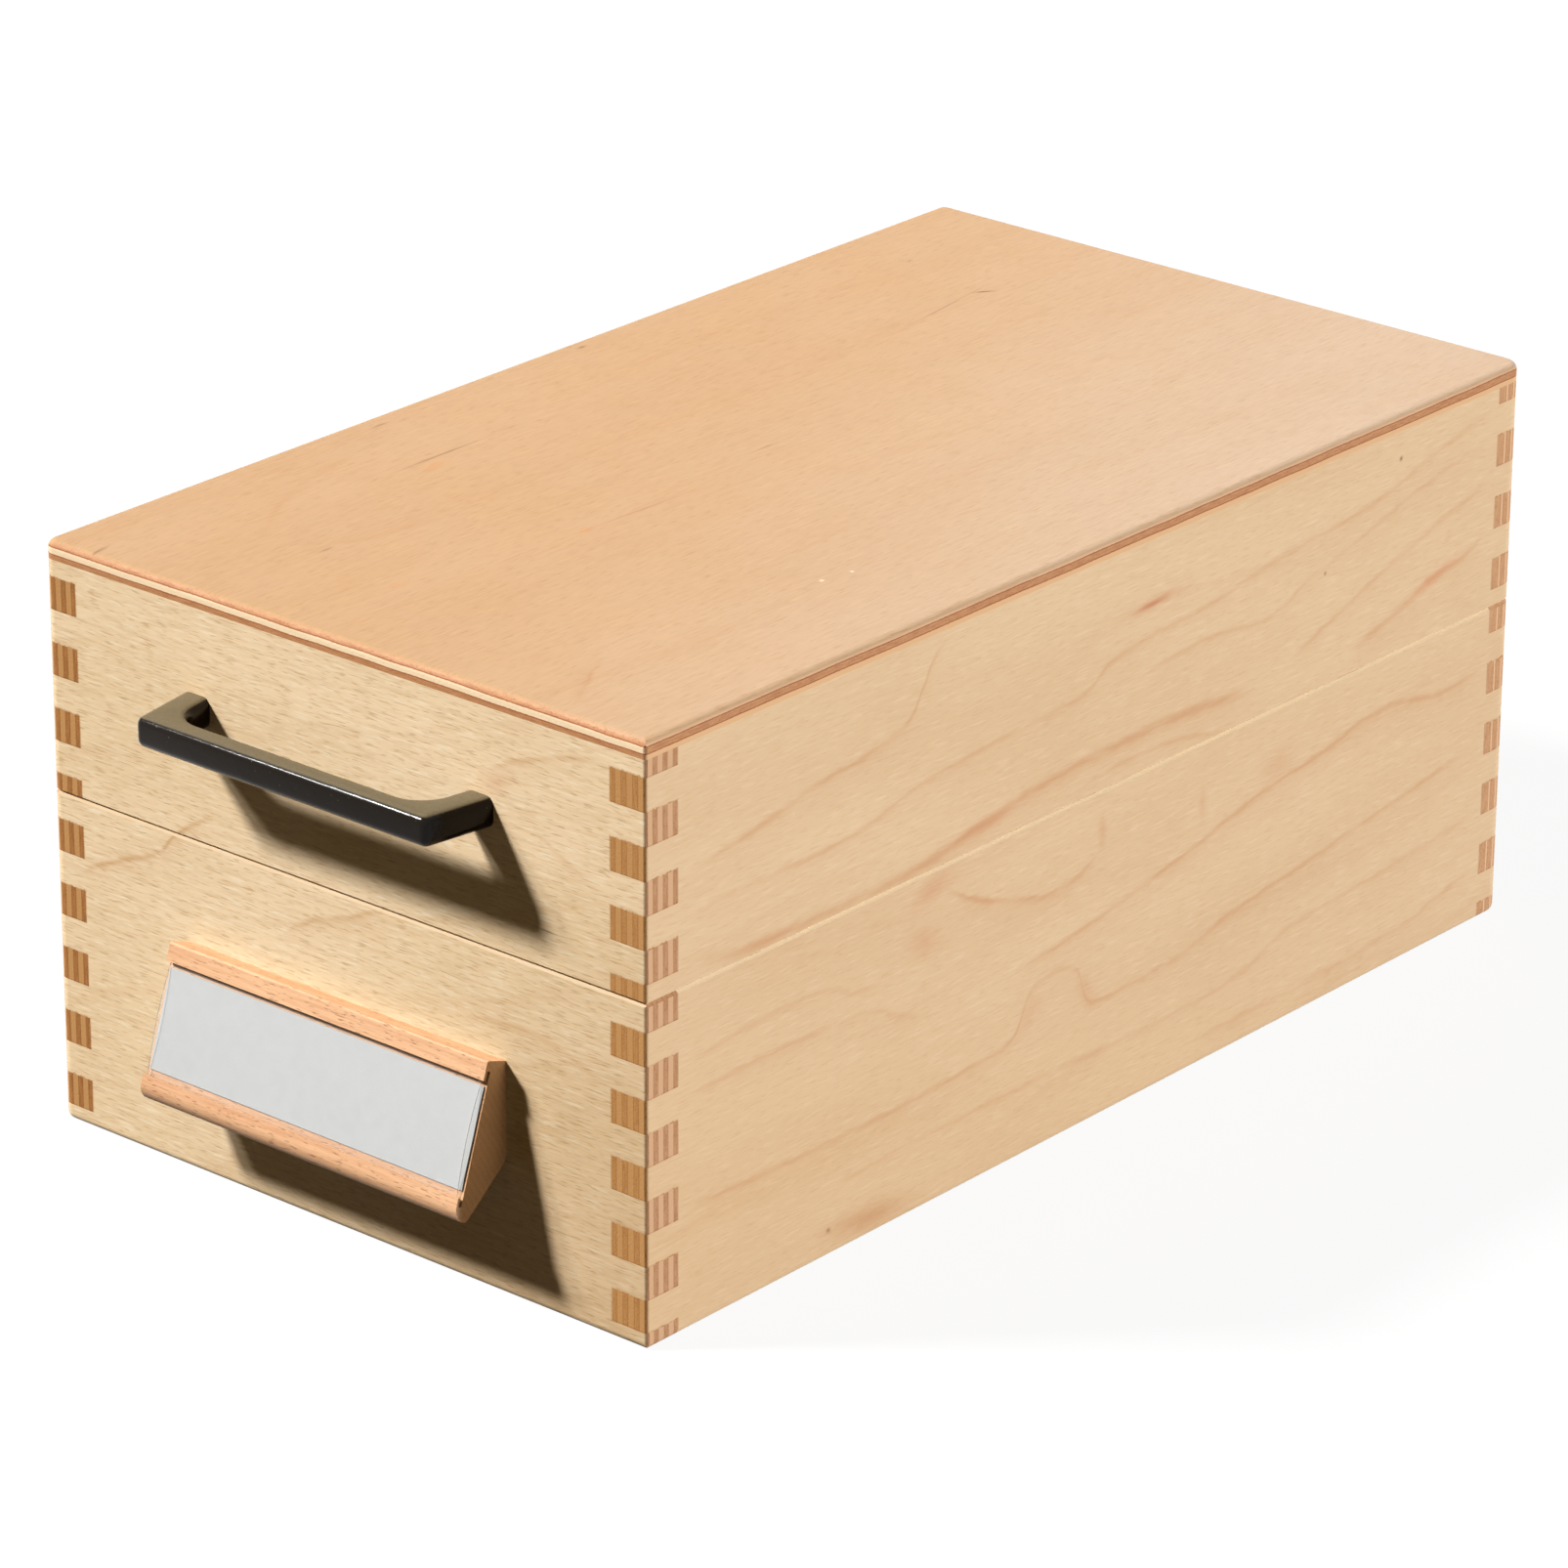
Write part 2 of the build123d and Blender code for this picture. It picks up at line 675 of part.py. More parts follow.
def runner(side):
    """The runner on one side; side is -1 on the left and 1 on the right."""
    flange_plane = Plane.YZ.offset(side * plate_width / 2)
    with BuildPart() as block:
        with BuildSketch(flange_plane):
            with Locations((runner_middle_y, groove_middle)):
                RectangleRounded(runner_length, runner_flange_height, runner_end_round)
        extrude(amount=side * runner_flange)
        with BuildSketch(flange_plane):
            with Locations((runner_middle_y, groove_middle)):
                RectangleRounded(runner_length, tongue_height, runner_end_round)
        extrude(amount=side * (runner_flange + groove_depth))
        with BuildSketch(flange_plane):
            with Locations(*rivet_places):
                Circle(rivet_radius + bore_gap)
        extrude(amount=side * (rivet_length - plate_thickness + bore_gap), mode=Mode.SUBTRACT)
    return block.part


with BuildPart() as left_runner:
    add(runner(-1))
left_runner.part.label = "left_runner"
export_step(left_runner.part, "parts/left_runner.step")

with BuildPart() as right_runner:
    add(runner(1))
right_runner.part.label = "right_runner"
export_step(right_runner.part, "parts/right_runner.step")

with BuildPart() as runner_rivets:
    for side in (-1, 1):
        rivet_plane = Plane.YZ.offset(side * (plate_width / 2 - plate_thickness))
        with BuildSketch(rivet_plane):
            with Locations(*rivet_places):
                Circle(rivet_radius)
        extrude(amount=side * rivet_length)
        with BuildSketch(rivet_plane):
            with Locations(*rivet_places):
                Circle(rivet_head_radius)
        extrude(amount=-side * rivet_head_height)
runner_rivets.part.label = "runner_rivets"
export_step(runner_rivets.part, "parts/runner_rivets.step")
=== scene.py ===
"""Looks of the wooden index card box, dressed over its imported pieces.

The box is a finger jointed plywood carcase, sawn into a base and a lid. Every board is sanded
birch plywood under a satin lacquer, so its colour comes from how deep a point lies in the sheet
and which way that veneer runs. Lengths in the finishes are in millimetres of the box's own frame.
"""

import logging
import math
from collections.abc import Callable
from dataclasses import dataclass, replace
from enum import Enum
from functools import reduce

import bmesh
import bpy
from mathutils import Matrix, Vector


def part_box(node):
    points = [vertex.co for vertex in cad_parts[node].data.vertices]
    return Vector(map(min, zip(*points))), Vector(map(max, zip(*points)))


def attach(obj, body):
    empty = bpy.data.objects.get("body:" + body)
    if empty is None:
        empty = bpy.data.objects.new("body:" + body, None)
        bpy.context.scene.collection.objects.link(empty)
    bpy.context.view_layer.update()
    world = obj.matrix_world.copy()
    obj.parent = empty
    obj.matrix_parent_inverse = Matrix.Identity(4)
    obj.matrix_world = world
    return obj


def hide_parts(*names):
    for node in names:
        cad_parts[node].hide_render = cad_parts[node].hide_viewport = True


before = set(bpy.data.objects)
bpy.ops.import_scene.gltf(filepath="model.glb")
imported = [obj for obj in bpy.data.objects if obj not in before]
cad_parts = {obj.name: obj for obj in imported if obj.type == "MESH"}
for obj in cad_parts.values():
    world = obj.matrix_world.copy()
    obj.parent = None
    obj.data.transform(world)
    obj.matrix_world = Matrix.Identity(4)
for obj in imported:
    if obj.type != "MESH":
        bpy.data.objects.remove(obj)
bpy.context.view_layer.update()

MM = 0.001
# Two places this near count as one, and a face whose normal goes this far along an axis is square to it.
TOUCH = 0.01 * MM
SQUARE = 0.9
WHITE = (1.0, 1.0, 1.0, 1.0)

logging.basicConfig(level=logging.INFO, format="%(message)s")
log = logging.getLogger("card_box")

Colour = tuple[float, float, float, float]
Point = tuple[float, float]
Source = bpy.types.NodeSocket | float | tuple[float, ...]


def paint(red: int, green: int, blue: int) -> Colour:
    """Gives the linear colour of a paint chip.

    Args:
        red: Red as it shows on a screen, 0 to 255.
        green: Green, likewise.
        blue: Blue, likewise.

    Returns:
        The linear red, green and blue, and an alpha of one.
    """

    def linear(shown: int) -> float:
        """Undoes the screen's curve for one channel."""
        share = shown / 255
        return share / 12.92 if share <= 0.04045 else ((share + 0.055) / 1.055) ** 2.4

    return (linear(red), linear(green), linear(blue), 1.0)


class Graph:
    """Adds and joins the nodes of one material or node group."""

    def __init__(self, tree: bpy.types.NodeTree) -> None:
        """Starts on a material's or group's node tree, emptied."""
        self.tree = tree
        self.tree.nodes.clear()

    def add(self, kind: str, **settings: object) -> bpy.types.Node:
        """Adds one node.

        Args:
            kind: Its type, without the shader prefix.
            **settings: Properties to set on it.

        Returns:
            The new node.
        """
        node = self.tree.nodes.new("ShaderNode" + kind)
        for name, value in settings.items():
            setattr(node, name, value)
        return node

    def feed(self, target: bpy.types.NodeSocket, source: Source) -> None:
        """Links a socket to another, or sets its value.

        Args:
            target: The input socket.
            source: An output socket, or a number, vector or colour.
        """
        if isinstance(source, bpy.types.NodeSocket):
            self.tree.links.new(source, target)
        else:
            target.default_value = source

    def run(self, node: bpy.types.Node, *values: Source, **named: Source) -> bpy.types.NodeOutputs:
        """Feeds a node.

        Args:
            node: The node.
            *values: What its first inputs read or hold, in order.
            **named: What its other inputs read or hold, by name, with underscores for spaces.

        Returns:
            The node's outputs.
        """
        for target, value in zip(node.inputs, values):
            self.feed(target, value)
        for name, value in named.items():
            self.feed(node.inputs[name.replace("_", " ")], value)
        return node.outputs

    def calc(self, operation: str, *values: Source) -> bpy.types.NodeSocket:
        """Works out a number from one to three others, by an operation such as MAXIMUM."""
        return self.run(self.add("Math", operation=operation), *values)[0]

    def times(self, *values: Source) -> bpy.types.NodeSocket:
        """Multiplies two or more values."""
        return reduce(lambda first, second: self.calc("MULTIPLY", first, second), values)

    def plus(self, first: Source, second: Source) -> bpy.types.NodeSocket:
        """Adds two values."""
        return self.calc("ADD", first, second)

    def minus(self, first: Source, second: Source) -> bpy.types.NodeSocket:
        """Takes the second value from the first."""
        return self.calc("SUBTRACT", first, second)

    def scaled(self, value: Source, factor: Source, offset: Source) -> bpy.types.NodeSocket:
        """Multiplies a value by a factor and adds an offset."""
        return self.calc("MULTIPLY_ADD", value, factor, offset)

    def fade(self, distance: Source) -> bpy.types.NodeSocket:
        """Gives one at no distance, softly fading out past a distance of one."""
        return self.calc("EXPONENT", self.times(self.calc("POWER", distance, 2.0), -1.0))

    def vector(self, operation: str, *values: Source) -> bpy.types.NodeSocket:
        """Works out a vector from others, or a number for LENGTH and DOT_PRODUCT."""
        outputs = self.run(self.add("VectorMath", operation=operation), *values)
        return outputs["Value" if operation in ("LENGTH", "DOT_PRODUCT") else "Vector"]

    def parts(self, source: Source) -> bpy.types.NodeOutputs:
        """Splits a vector into its X, Y and Z."""
        return self.run(self.add("SeparateXYZ"), source)

    def join(self, *values: Source) -> bpy.types.NodeSocket:
        """Makes a vector of three numbers."""
        return self.run(self.add("CombineXYZ"), *values)[0]

    def ramp(self, value: Source, low: Source, high: Source,
             start: float = 0.0, end: float = 1.0) -> bpy.types.NodeSocket:
        """Steps smoothly from start to end while a value goes from low to high."""
        node = self.add("MapRange", interpolation_type="SMOOTHSTEP")
        return self.run(node, value, low, high, start, end)[0]

    def blend(self, share: Source, first: Source, second: Source,
              mode: str = "MIX") -> bpy.types.NodeSocket:
        """Mixes two colours.

        Args:
            share: How much of the second shows, 0 to 1.
            first: The colour below.
            second: The colour on top.
            mode: The blend mode.

        Returns:
            The mixed colour.
        """
        node = self.add("Mix", data_type="RGBA", blend_type=mode)
        colours = [socket for socket in node.inputs if socket.type == "RGBA"]
        self.feed(node.inputs[0], share)
        self.feed(colours[0], first)
        self.feed(colours[1], second)
        return next(socket for socket in node.outputs if socket.type == "RGBA")

    def noise(self, place: Source, stretch: tuple[float, float, float], seed: Source = 0.0,
              detail: float = 2.0, roughness: float = 0.5) -> bpy.types.NodeSocket:
        """Adds a soft random pattern.

        Args:
            place: The point, in millimetres.
            stretch: How many times the pattern changes per millimetre along each axis.
            seed: Which pattern it is.
            detail: How many finer layers it has.
            roughness: How strong they are.

        Returns:
            A value from 0 to 1, mostly near one half.
        """
        return self.run(
            self.add("TexNoise", noise_dimensions="4D"), Vector=self.vector("MULTIPLY", place, stretch),
            W=seed, Scale=1.0, Detail=detail, Roughness=roughness,
        )[0]

    def sway(self, place: Source, stretch: tuple[float, float, float], seed: Source = 0.0,
             detail: float = 2.0) -> bpy.types.NodeSocket:
        """Gives a soft random pattern that goes as far below zero as above it."""
        return self.minus(self.noise(place, stretch, seed, detail), 0.5)

    def patches(self, place: Source, stretch: tuple[float, float, float], low: float, high: float,
                seed: Source = 0.0, detail: float = 2.0, roughness: float = 0.5) -> bpy.types.NodeSocket:
        """Makes patches where a noise lies above a level, whole ones above the higher level."""
        return self.ramp(self.noise(place, stretch, seed, detail, roughness), low, high)

    def follow(self, position: Source, points: tuple[Point, ...]) -> bpy.types.NodeSocket:
        """Reads a smooth curve.

        Args:
            position: Where it is read.
            points: The places and heights that it passes, in order of place.

        Returns:
            The curve's height there.
        """
        first, last = points[0][0], points[-1][0]
        low = min(height for _, height in points)
        rise = max(max(height for _, height in points) - low, 1.0)
        spots = [((place - first) / (last - first), (height - low) / rise) for place, height in points]
        node = self.add("FloatCurve")
        curve = node.mapping.curves[0]
        curve.points[0].location, curve.points[1].location = spots[0], spots[-1]
        for spot in spots[1:-1]:
            curve.points.new(*spot)
        node.mapping.update()
        share = self.calc("DIVIDE", self.minus(position, first), last - first)
        return self.scaled(self.run(node, Value=share)[0], rise, low)

    def use(self, effect: str, **values: Source) -> bpy.types.NodeOutputs:
        """Places a shared effect, fed by name, and gives its outputs."""
        return self.run(self.add("Group", node_tree=Effect.made[effect]), **values)

    def bump(self, height: Source, depth: float, strength: float = 1.0) -> bpy.types.NodeSocket:
        """Turns a height, which goes as deep as said in millimetres from 0 to 1, into a normal."""
        return self.run(self.add("Bump"), Strength=strength, Distance=depth * MM, Height=height)[0]


class Finish(Graph):
    """The graph of one material.

    Attributes:
        made: The material.
        place: The point on the piece, in millimetres.
        facing: The way that its surface faces.
    """

    def __init__(self, name: str) -> None:
        """Starts the material.

        Args:
            name: Its name.
        """
        self.made = bpy.data.materials.new(name)
        self.made.use_nodes = True
        super().__init__(self.made.node_tree)
        source = self.add("TexCoord").outputs
        self.place = self.vector("DIVIDE", source["Object"], (MM, MM, MM))
        self.facing = source["Normal"]

    def end(self, **values: Source) -> bpy.types.Material:
        """Ends the material in a Principled surface, fed by name, and gives the material."""
        self.run(self.add("OutputMaterial"), Surface=self.run(self.add("BsdfPrincipled"), **values)[0])
        return self.made


class Effect:
    """A shader node group with named inputs and outputs, built once and used by many finishes."""

    made: dict[str, bpy.types.NodeTree] = {}

    def __init__(self, name: str, inputs: dict[str, object], outputs: dict[str, str]) -> None:
        """Starts an empty group.

        Args:
            name: The group's name.
            inputs: Each input's name with its default, a number, vector or colour.
            outputs: Each output's name with its kind, Float, Vector or Color.
        """
        tree = bpy.data.node_groups.new(name, "ShaderNodeTree")
        self.graph = Graph(tree)
        for title, default in inputs.items():
            kind = "Float" if isinstance(default, float) else {3: "Vector", 4: "Color"}[len(default)]
            socket = tree.interface.new_socket(title, in_out="INPUT", socket_type="NodeSocket" + kind)
            socket.default_value = default
        for title, kind in outputs.items():
            tree.interface.new_socket(title, in_out="OUTPUT", socket_type="NodeSocket" + kind)
        self.entry = tree.nodes.new("NodeGroupInput").outputs
        self.exit = tree.nodes.new("NodeGroupOutput").inputs
        Effect.made[name] = tree

    def give(self, **results: bpy.types.NodeSocket) -> None:
        """Joins the results to the group's outputs, by name."""
        for title, source in results.items():
            self.graph.feed(self.exit[title], source)


def soft_spot() -> None:
    """Builds an oval patch that fades out from its middle, used for knots, flecks and stains."""
    spot = Effect(
        "SoftSpot",
        {"Place": (0.0, 0.0, 0.0), "Middle": (0.0, 0.0, 0.0), "Reach": (1.0, 1.0, 1.0), "Turn": 0.0},
        {"Mask": "Float"},
    )
    graph, entry = spot.graph, spot.entry
    flat = graph.vector("MULTIPLY", entry["Place"], (1.0, 1.0, 0.0))
    turned = graph.run(
        graph.add("VectorRotate", rotation_type="Z_AXIS"),
        Vector=graph.vector("SUBTRACT", flat, entry["Middle"]), Angle=graph.times(entry["Turn"], -1.0),
    )[0]
    distance = graph.vector("LENGTH", graph.vector("DIVIDE", turned, entry["Reach"]))
    ragged = graph.noise(entry["Place"], (0.35, 1.6, 0.0), 2.0, 2.0)
    spot.give(Mask=graph.fade(graph.times(distance, graph.plus(ragged, 0.5))))


def growth_line() -> None:
    """Builds a growth ring's edge: a thin line with the ring's soft tone on one side of it."""
    line = Effect(
        "GrowthLine",
        {"Place": (0.0, 0.0, 0.0), "Height": 0.0, "Start": 0.0, "End": 1.0, "Width": 0.5, "Shade": 2.0,
         "Strength": 1.0},
        {"Mask": "Float"},
    )
    graph, entry = line.graph, line.entry
    place = graph.parts(entry["Place"])
    wobble = graph.sway(entry["Place"], (0.22, 0.5, 0.0), 4.0, 3.0)
    away = graph.scaled(wobble, 1.6, graph.minus(place["Y"], entry["Height"]))
    core = graph.fade(graph.calc("DIVIDE", away, entry["Width"]))
    beside = graph.calc("DIVIDE", away, entry["Shade"])
    tone = graph.calc("EXPONENT", graph.times(graph.calc("MAXIMUM", beside, 0.0), -1.0))
    tone = graph.times(tone, graph.ramp(beside, -0.3, 0.15))
    both = graph.plus(graph.times(core, 0.6), graph.times(tone, 0.4))
    begun = graph.ramp(graph.minus(place["X"], entry["Start"]), 0.0, 9.0)
    left = graph.ramp(graph.minus(entry["End"], place["X"]), 0.0, 9.0)
    patchy = graph.ramp(graph.noise(entry["Place"], (0.07, 0.3, 0.0), 9.0, 3.0), 0.3, 0.62, 0.35, 1.0)
    line.give(Mask=graph.times(both, begun, left, patchy, entry["Strength"]))


def veneer() -> None:
    """Builds the figure of a peeled veneer: growth rings cut aslant, soft clouds and fine fibres."""
    sheet = Effect(
        "Veneer",
        {
            "Place": (0.0, 0.0, 0.0), "Tilt": 0.0, "Ring Spacing": 9.0, "Seed": 0.0,
            "Pale": WHITE, "Cloud": WHITE, "Ring": WHITE, "Ring Strength": 0.6,
            "Fibre": WHITE, "Glint": WHITE, "Fibre Strength": 0.3,
        },
        {"Color": "Color", "Height": "Float"},
    )
    graph, entry = sheet.graph, sheet.entry
    place, seed = entry["Place"], entry["Seed"]
    split = graph.parts(place)
    slow = graph.sway(place, (0.009, 0.026, 0.0), seed, 1.5)
    wobble = graph.sway(place, (0.05, 0.16, 0.0), seed, 3.0)
    level = graph.scaled(split["X"], entry["Tilt"], split["Y"])
    level = graph.scaled(wobble, 3.2, graph.scaled(slow, 32.0, level))
    phase = graph.calc("FRACT", graph.calc("DIVIDE", level, entry["Ring Spacing"]))
    line = graph.calc("POWER", graph.ramp(phase, 0.42, 0.93), 2.2)
    line = graph.times(line, graph.ramp(phase, 0.93, 0.99, 1.0, 0.0))
    patchy = graph.patches(place, (0.017, 0.06, 0.0), 0.36, 0.66, graph.plus(seed, 31.0), 3.0)
    rings = graph.times(line, patchy, entry["Ring Strength"])
    clouds = graph.patches(place, (0.012, 0.05, 0.0), 0.3, 0.7, graph.plus(seed, 7.0), 3.0)
    coarse = graph.patches(place, (0.1, 1.3, 1.3), 0.42, 0.68, graph.plus(seed, 3.0), 3.0, 0.7)
    dashes = graph.patches(place, (0.34, 3.2, 3.2), 0.54, 0.68, graph.plus(seed, 5.0), 1.0)
    glints = graph.patches(place, (0.2, 2.1, 2.1), 0.52, 0.68, graph.plus(seed, 11.0))
    streaks = graph.scaled(dashes, 0.8, graph.times(coarse, 0.5))
    colour = graph.blend(clouds, entry["Pale"], entry["Cloud"])
    colour = graph.blend(rings, colour, entry["Ring"])
    colour = graph.blend(graph.times(streaks, entry["Fibre Strength"]), colour, entry["Fibre"])
    colour = graph.blend(graph.times(glints, entry["Fibre Strength"]), colour, entry["Glint"])
    height = graph.scaled(streaks, -0.6, graph.times(rings, -0.4))
    sheet.give(Color=colour, Height=height)


def cut_end() -> None:
    """Builds the end grain that shows where a veneer is cut across: browner, with dark pores."""
    cut = Effect(
        "CutEnd",
        {"Place": (0.0, 0.0, 0.0), "Seed": 0.0, "Pale": WHITE, "Dark": WHITE},
        {"Color": "Color", "Height": "Float"},
    )
    graph, entry = cut.graph, cut.entry
    bands = graph.patches(entry["Place"], (0.5, 0.35, 2.4), 0.34, 0.68, entry["Seed"], 3.0, 0.6)
    pores = graph.patches(entry["Place"], (4.2, 3.2, 5.0), 0.5, 0.72, entry["Seed"], 2.0, 0.6)
    colour = graph.blend(bands, entry["Pale"], entry["Dark"])
    colour = graph.blend(graph.times(pores, 0.4), colour, entry["Dark"], "MULTIPLY")
    cut.give(Color=colour, Height=graph.times(pores, -1.0))


def rub_marks() -> None:
    """Builds the faint smears and hairline scratches that handling leaves in a gloss."""
    rub = Effect(
        "RubMarks",
        {"Place": (0.0, 0.0, 0.0), "Seed": 0.0},
        {"Smear": "Float", "Scratch": "Float"},
    )
    place, seed = rub.entry["Place"], rub.entry["Seed"]
    smear = rub.graph.patches(place, (0.05, 0.05, 0.05), 0.35, 0.7, seed, 3.0)
    scratch = rub.graph.patches(place, (0.25, 5.0, 5.0), 0.68, 0.74, seed, 1.0)
    rub.give(Smear=smear, Scratch=scratch)


@dataclass(frozen=True)
class FingerJoint:
    """The pattern of the corner joints, which repeats up the carcase.

    Attributes:
        first: The height of the lowest side finger's foot.
        finger: The height of a finger.
        wall: The thickness of a board.
        kerf: What the saw took out where the lid was cut off.
        tear: How far the saw tore the fibres at a finger's edge, for a whole step of raggedness.
        held: How ragged they are, from 0 to 1, where the first of them are torn.
        hairline: How far from its middle the joint's line begins to fade, and where it is gone.
    """

    first: float = 2.85
    finger: float = 5.5
    wall: float = 7.0
    kerf: float = 3.2
    tear: float = 2.4
    held: float = 0.46
    hairline: tuple[float, float] = (0.06, 0.3)

    def group(self) -> None:
        """Builds the group that finds the joint's hairline border and its torn fibres.

        Its inputs are the place, the distance of the corner along the board, how far round the
        cut faces the surface is and which of the two boards it is on.
        """
        joint = Effect(
            "FingerJoint",
            {"Place": (0.0, 0.0, 0.0), "Corner": 62.5, "Cut": 0.0, "Offset": 0.0},
            {"Border": "Float", "Torn": "Float"},
        )
        graph, entry = joint.graph, joint.entry
        place = graph.parts(entry["Place"])
        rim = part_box("lid_front_board")[0].z / MM
        above = graph.calc("GREATER_THAN", place["Y"], rim)
        height = graph.minus(graph.scaled(above, self.kerf, place["Y"]), self.first)
        step = graph.calc("DIVIDE", graph.minus(height, entry["Offset"]), 2 * self.finger)
        middle = graph.scaled(graph.calc("FRACT", step), 2 * self.finger, -self.finger / 2)
        beyond = graph.minus(graph.calc("ABSOLUTE", middle), self.finger / 2)
        inward = graph.minus(entry["Corner"], graph.calc("ABSOLUTE", place["X"]))
        inside = graph.minus(inward, self.wall)
        face = graph.calc("MAXIMUM", beyond, inside)
        away = graph.scaled(entry["Cut"], graph.minus(beyond, face), face)
        ragged = graph.noise(entry["Place"], (1.1, 0.1, 1.1), 6.0, 2.0, 0.7)
        border = graph.ramp(graph.calc("ABSOLUTE", away), *self.hairline, 1.0, 0.0)
        border = graph.times(border, graph.ramp(ragged, 0.35, 0.6, 0.4, 1.0))
        reach = graph.times(graph.minus(ragged, self.held), self.tear)
        torn = graph.ramp(graph.minus(reach, graph.calc("ABSOLUTE", beyond)), 0.0, 0.12)
        joint.give(Border=border, Torn=graph.times(torn, graph.ramp(inside, -0.15, 0.05, 1.0, 0.0)))


class Side(Enum):
    """A side of the box: the axes of its grain, its width and its depth, and which way inward is."""

    FRONT = ("X", "Z", "Y", 1.0)
    BACK = ("X", "Z", "Y", -1.0)
    LEFT = ("Y", "Z", "X", 1.0)
    RIGHT = ("Y", "Z", "X", -1.0)
    TOP = ("Y", "X", "Z", -1.0)
    UNDERSIDE = ("Y", "X", "Z", 1.0)

    def boards(self) -> tuple[str, ...]:
        """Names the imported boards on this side.

        Returns:
            The one panel, or the base's board and the lid's.
        """
        if self is Side.TOP:
            return ("lid_top_panel",)
        if self is Side.UNDERSIDE:
            return ("base_bottom_panel",)
        return (f"base_{self.name.lower()}_board", f"lid_{self.name.lower()}_board")

    def jointed(self) -> bool:
        """Tells whether the side's boards have finger joints."""
        return self not in (Side.TOP, Side.UNDERSIDE)

    def span(self, axis: str) -> tuple[float, float]:
        """Gives where the side's board begins and ends along an axis.

        Args:
            axis: X, Y or Z.

        Returns:
            The lower and the higher place, in millimetres.
        """
        low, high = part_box(self.boards()[0])
        number = "XYZ".index(axis)
        return low[number] / MM, high[number] / MM

    def outer(self) -> float:
        """Gives where its outer face lies along its depth axis, in millimetres."""
        return self.span(self.value[2])[0 if self.value[3] > 0 else 1]


@dataclass(frozen=True)
class Layup:
    """The veneers of a sheet, from its outer face inwards.

    Attributes:
        name: What the sheet is.
        veneers: The thickness of each veneer; the outer one is sanded thin.
        drift: How far a veneer's boundary wanders.
        fray: How far it frays.
        blur: Half the width in which a veneer goes over into the next.
        glue: How far from its middle a glue line begins to fade, and where it is gone.
    """

    name: str
    veneers: tuple[float, ...]
    drift: float = 0.5
    fray: float = 0.15
    blur: float = 0.07
    glue: tuple[float, float] = (0.04, 0.14)

    def group(self) -> None:
        """Builds the group that tells how far a surface cuts across the veneer it lies in.

        The group gives Cut, from 0 along the fibres to 1 across them, the Glue lines, and Edge,
        which is 1 on the sheet's edges and 0 on its faces.
        """
        stack = Effect(
            self.name,
            {"Place": (0.0, 0.0, 0.0), "Facing": (0.0, 0.0, 0.0), "Seed": 0.0},
            {"Cut": "Float", "Glue": "Float", "Edge": "Float"},
        )
        graph, entry = stack.graph, stack.entry
        drift = graph.sway(entry["Place"], (0.06, 0.06, 0.0), entry["Seed"])
        fray = graph.sway(entry["Place"], (1.6, 1.6, 0.0), entry["Seed"])
        depth = graph.scaled(drift, self.drift, graph.parts(entry["Place"])["Z"])
        depth = graph.scaled(fray, self.fray, depth)
        crossing: Source = 0.0
        glue: Source = 0.0
        boundary = 0.0
        for number, thickness in enumerate(self.veneers[:-1]):
            boundary += thickness
            step = graph.ramp(depth, boundary - self.blur, boundary + self.blur)
            crossing = graph.scaled(step, (1.0, -1.0)[number % 2], crossing)
            near = graph.calc("ABSOLUTE", graph.minus(depth, boundary))
            glue = graph.calc("MAXIMUM", graph.ramp(near, *self.glue, 1.0, 0.0), glue)
        facing = graph.parts(graph.vector("ABSOLUTE", entry["Facing"]))
        across = graph.times(crossing, graph.minus(facing["Y"], facing["X"]))
        cut = graph.ramp(graph.plus(facing["X"], across), 0.3, 0.85)
        edge = graph.ramp(facing["Z"], 0.3, 0.8, 1.0, 0.0)
        stack.give(Cut=cut, Glue=graph.times(glue, edge), Edge=edge)


@dataclass(frozen=True)
class GrowthLine:
    """A growth ring's edge that shows as a thin curve in a face.

    Attributes:
        points: The places that it passes, along and across the grain.
        strength: How clearly it shows.
        width: Half the width of the line.
        shade: How far its tone reaches up across the grain, or down if it is negative.
    """

    points: tuple[Point, ...]
    strength: float = 0.7
    width: float = 0.55
    shade: float = -2.5


@dataclass(frozen=True)
class Fleck:
    """A small natural mark in a face.

    Attributes:
        middle: Its place along and across the grain.
        reach: Its half length and half width.
        colour: The mark's colour.
        strength: How much of its colour shows.
        turn: Its slope against the grain, in degrees.
    """

    middle: Point
    reach: Point
    colour: Colour
    strength: float = 0.6
    turn: float = 0.0


@dataclass(frozen=True)
class Tones:
    """The colours of a board.

    Attributes:
        pale: The face's main colour.
        cloud: The colour of its soft bands.
        ring: The colour of its growth rings.
        fibre: The colour of its dark fibres.
        glint: The colour of its bright fibres.
        drift: The tint that the face takes on past its drift line, painted shade on the front and painted
            sheen on the top.
        end_pale: The paler colour of its end grain.
        end_dark: The darker colour of its end grain.
        edge_joint: What a joint's end shows of the veneers that run across it.
        edge_rim: What a rim shows of the veneers that run along it.
    """

    pale: Colour
    cloud: Colour
    ring: Colour
    fibre: Colour
    glint: Colour
    drift: Colour
    end_pale: Colour
    end_dark: Colour
    edge_joint: Colour
    edge_rim: Colour


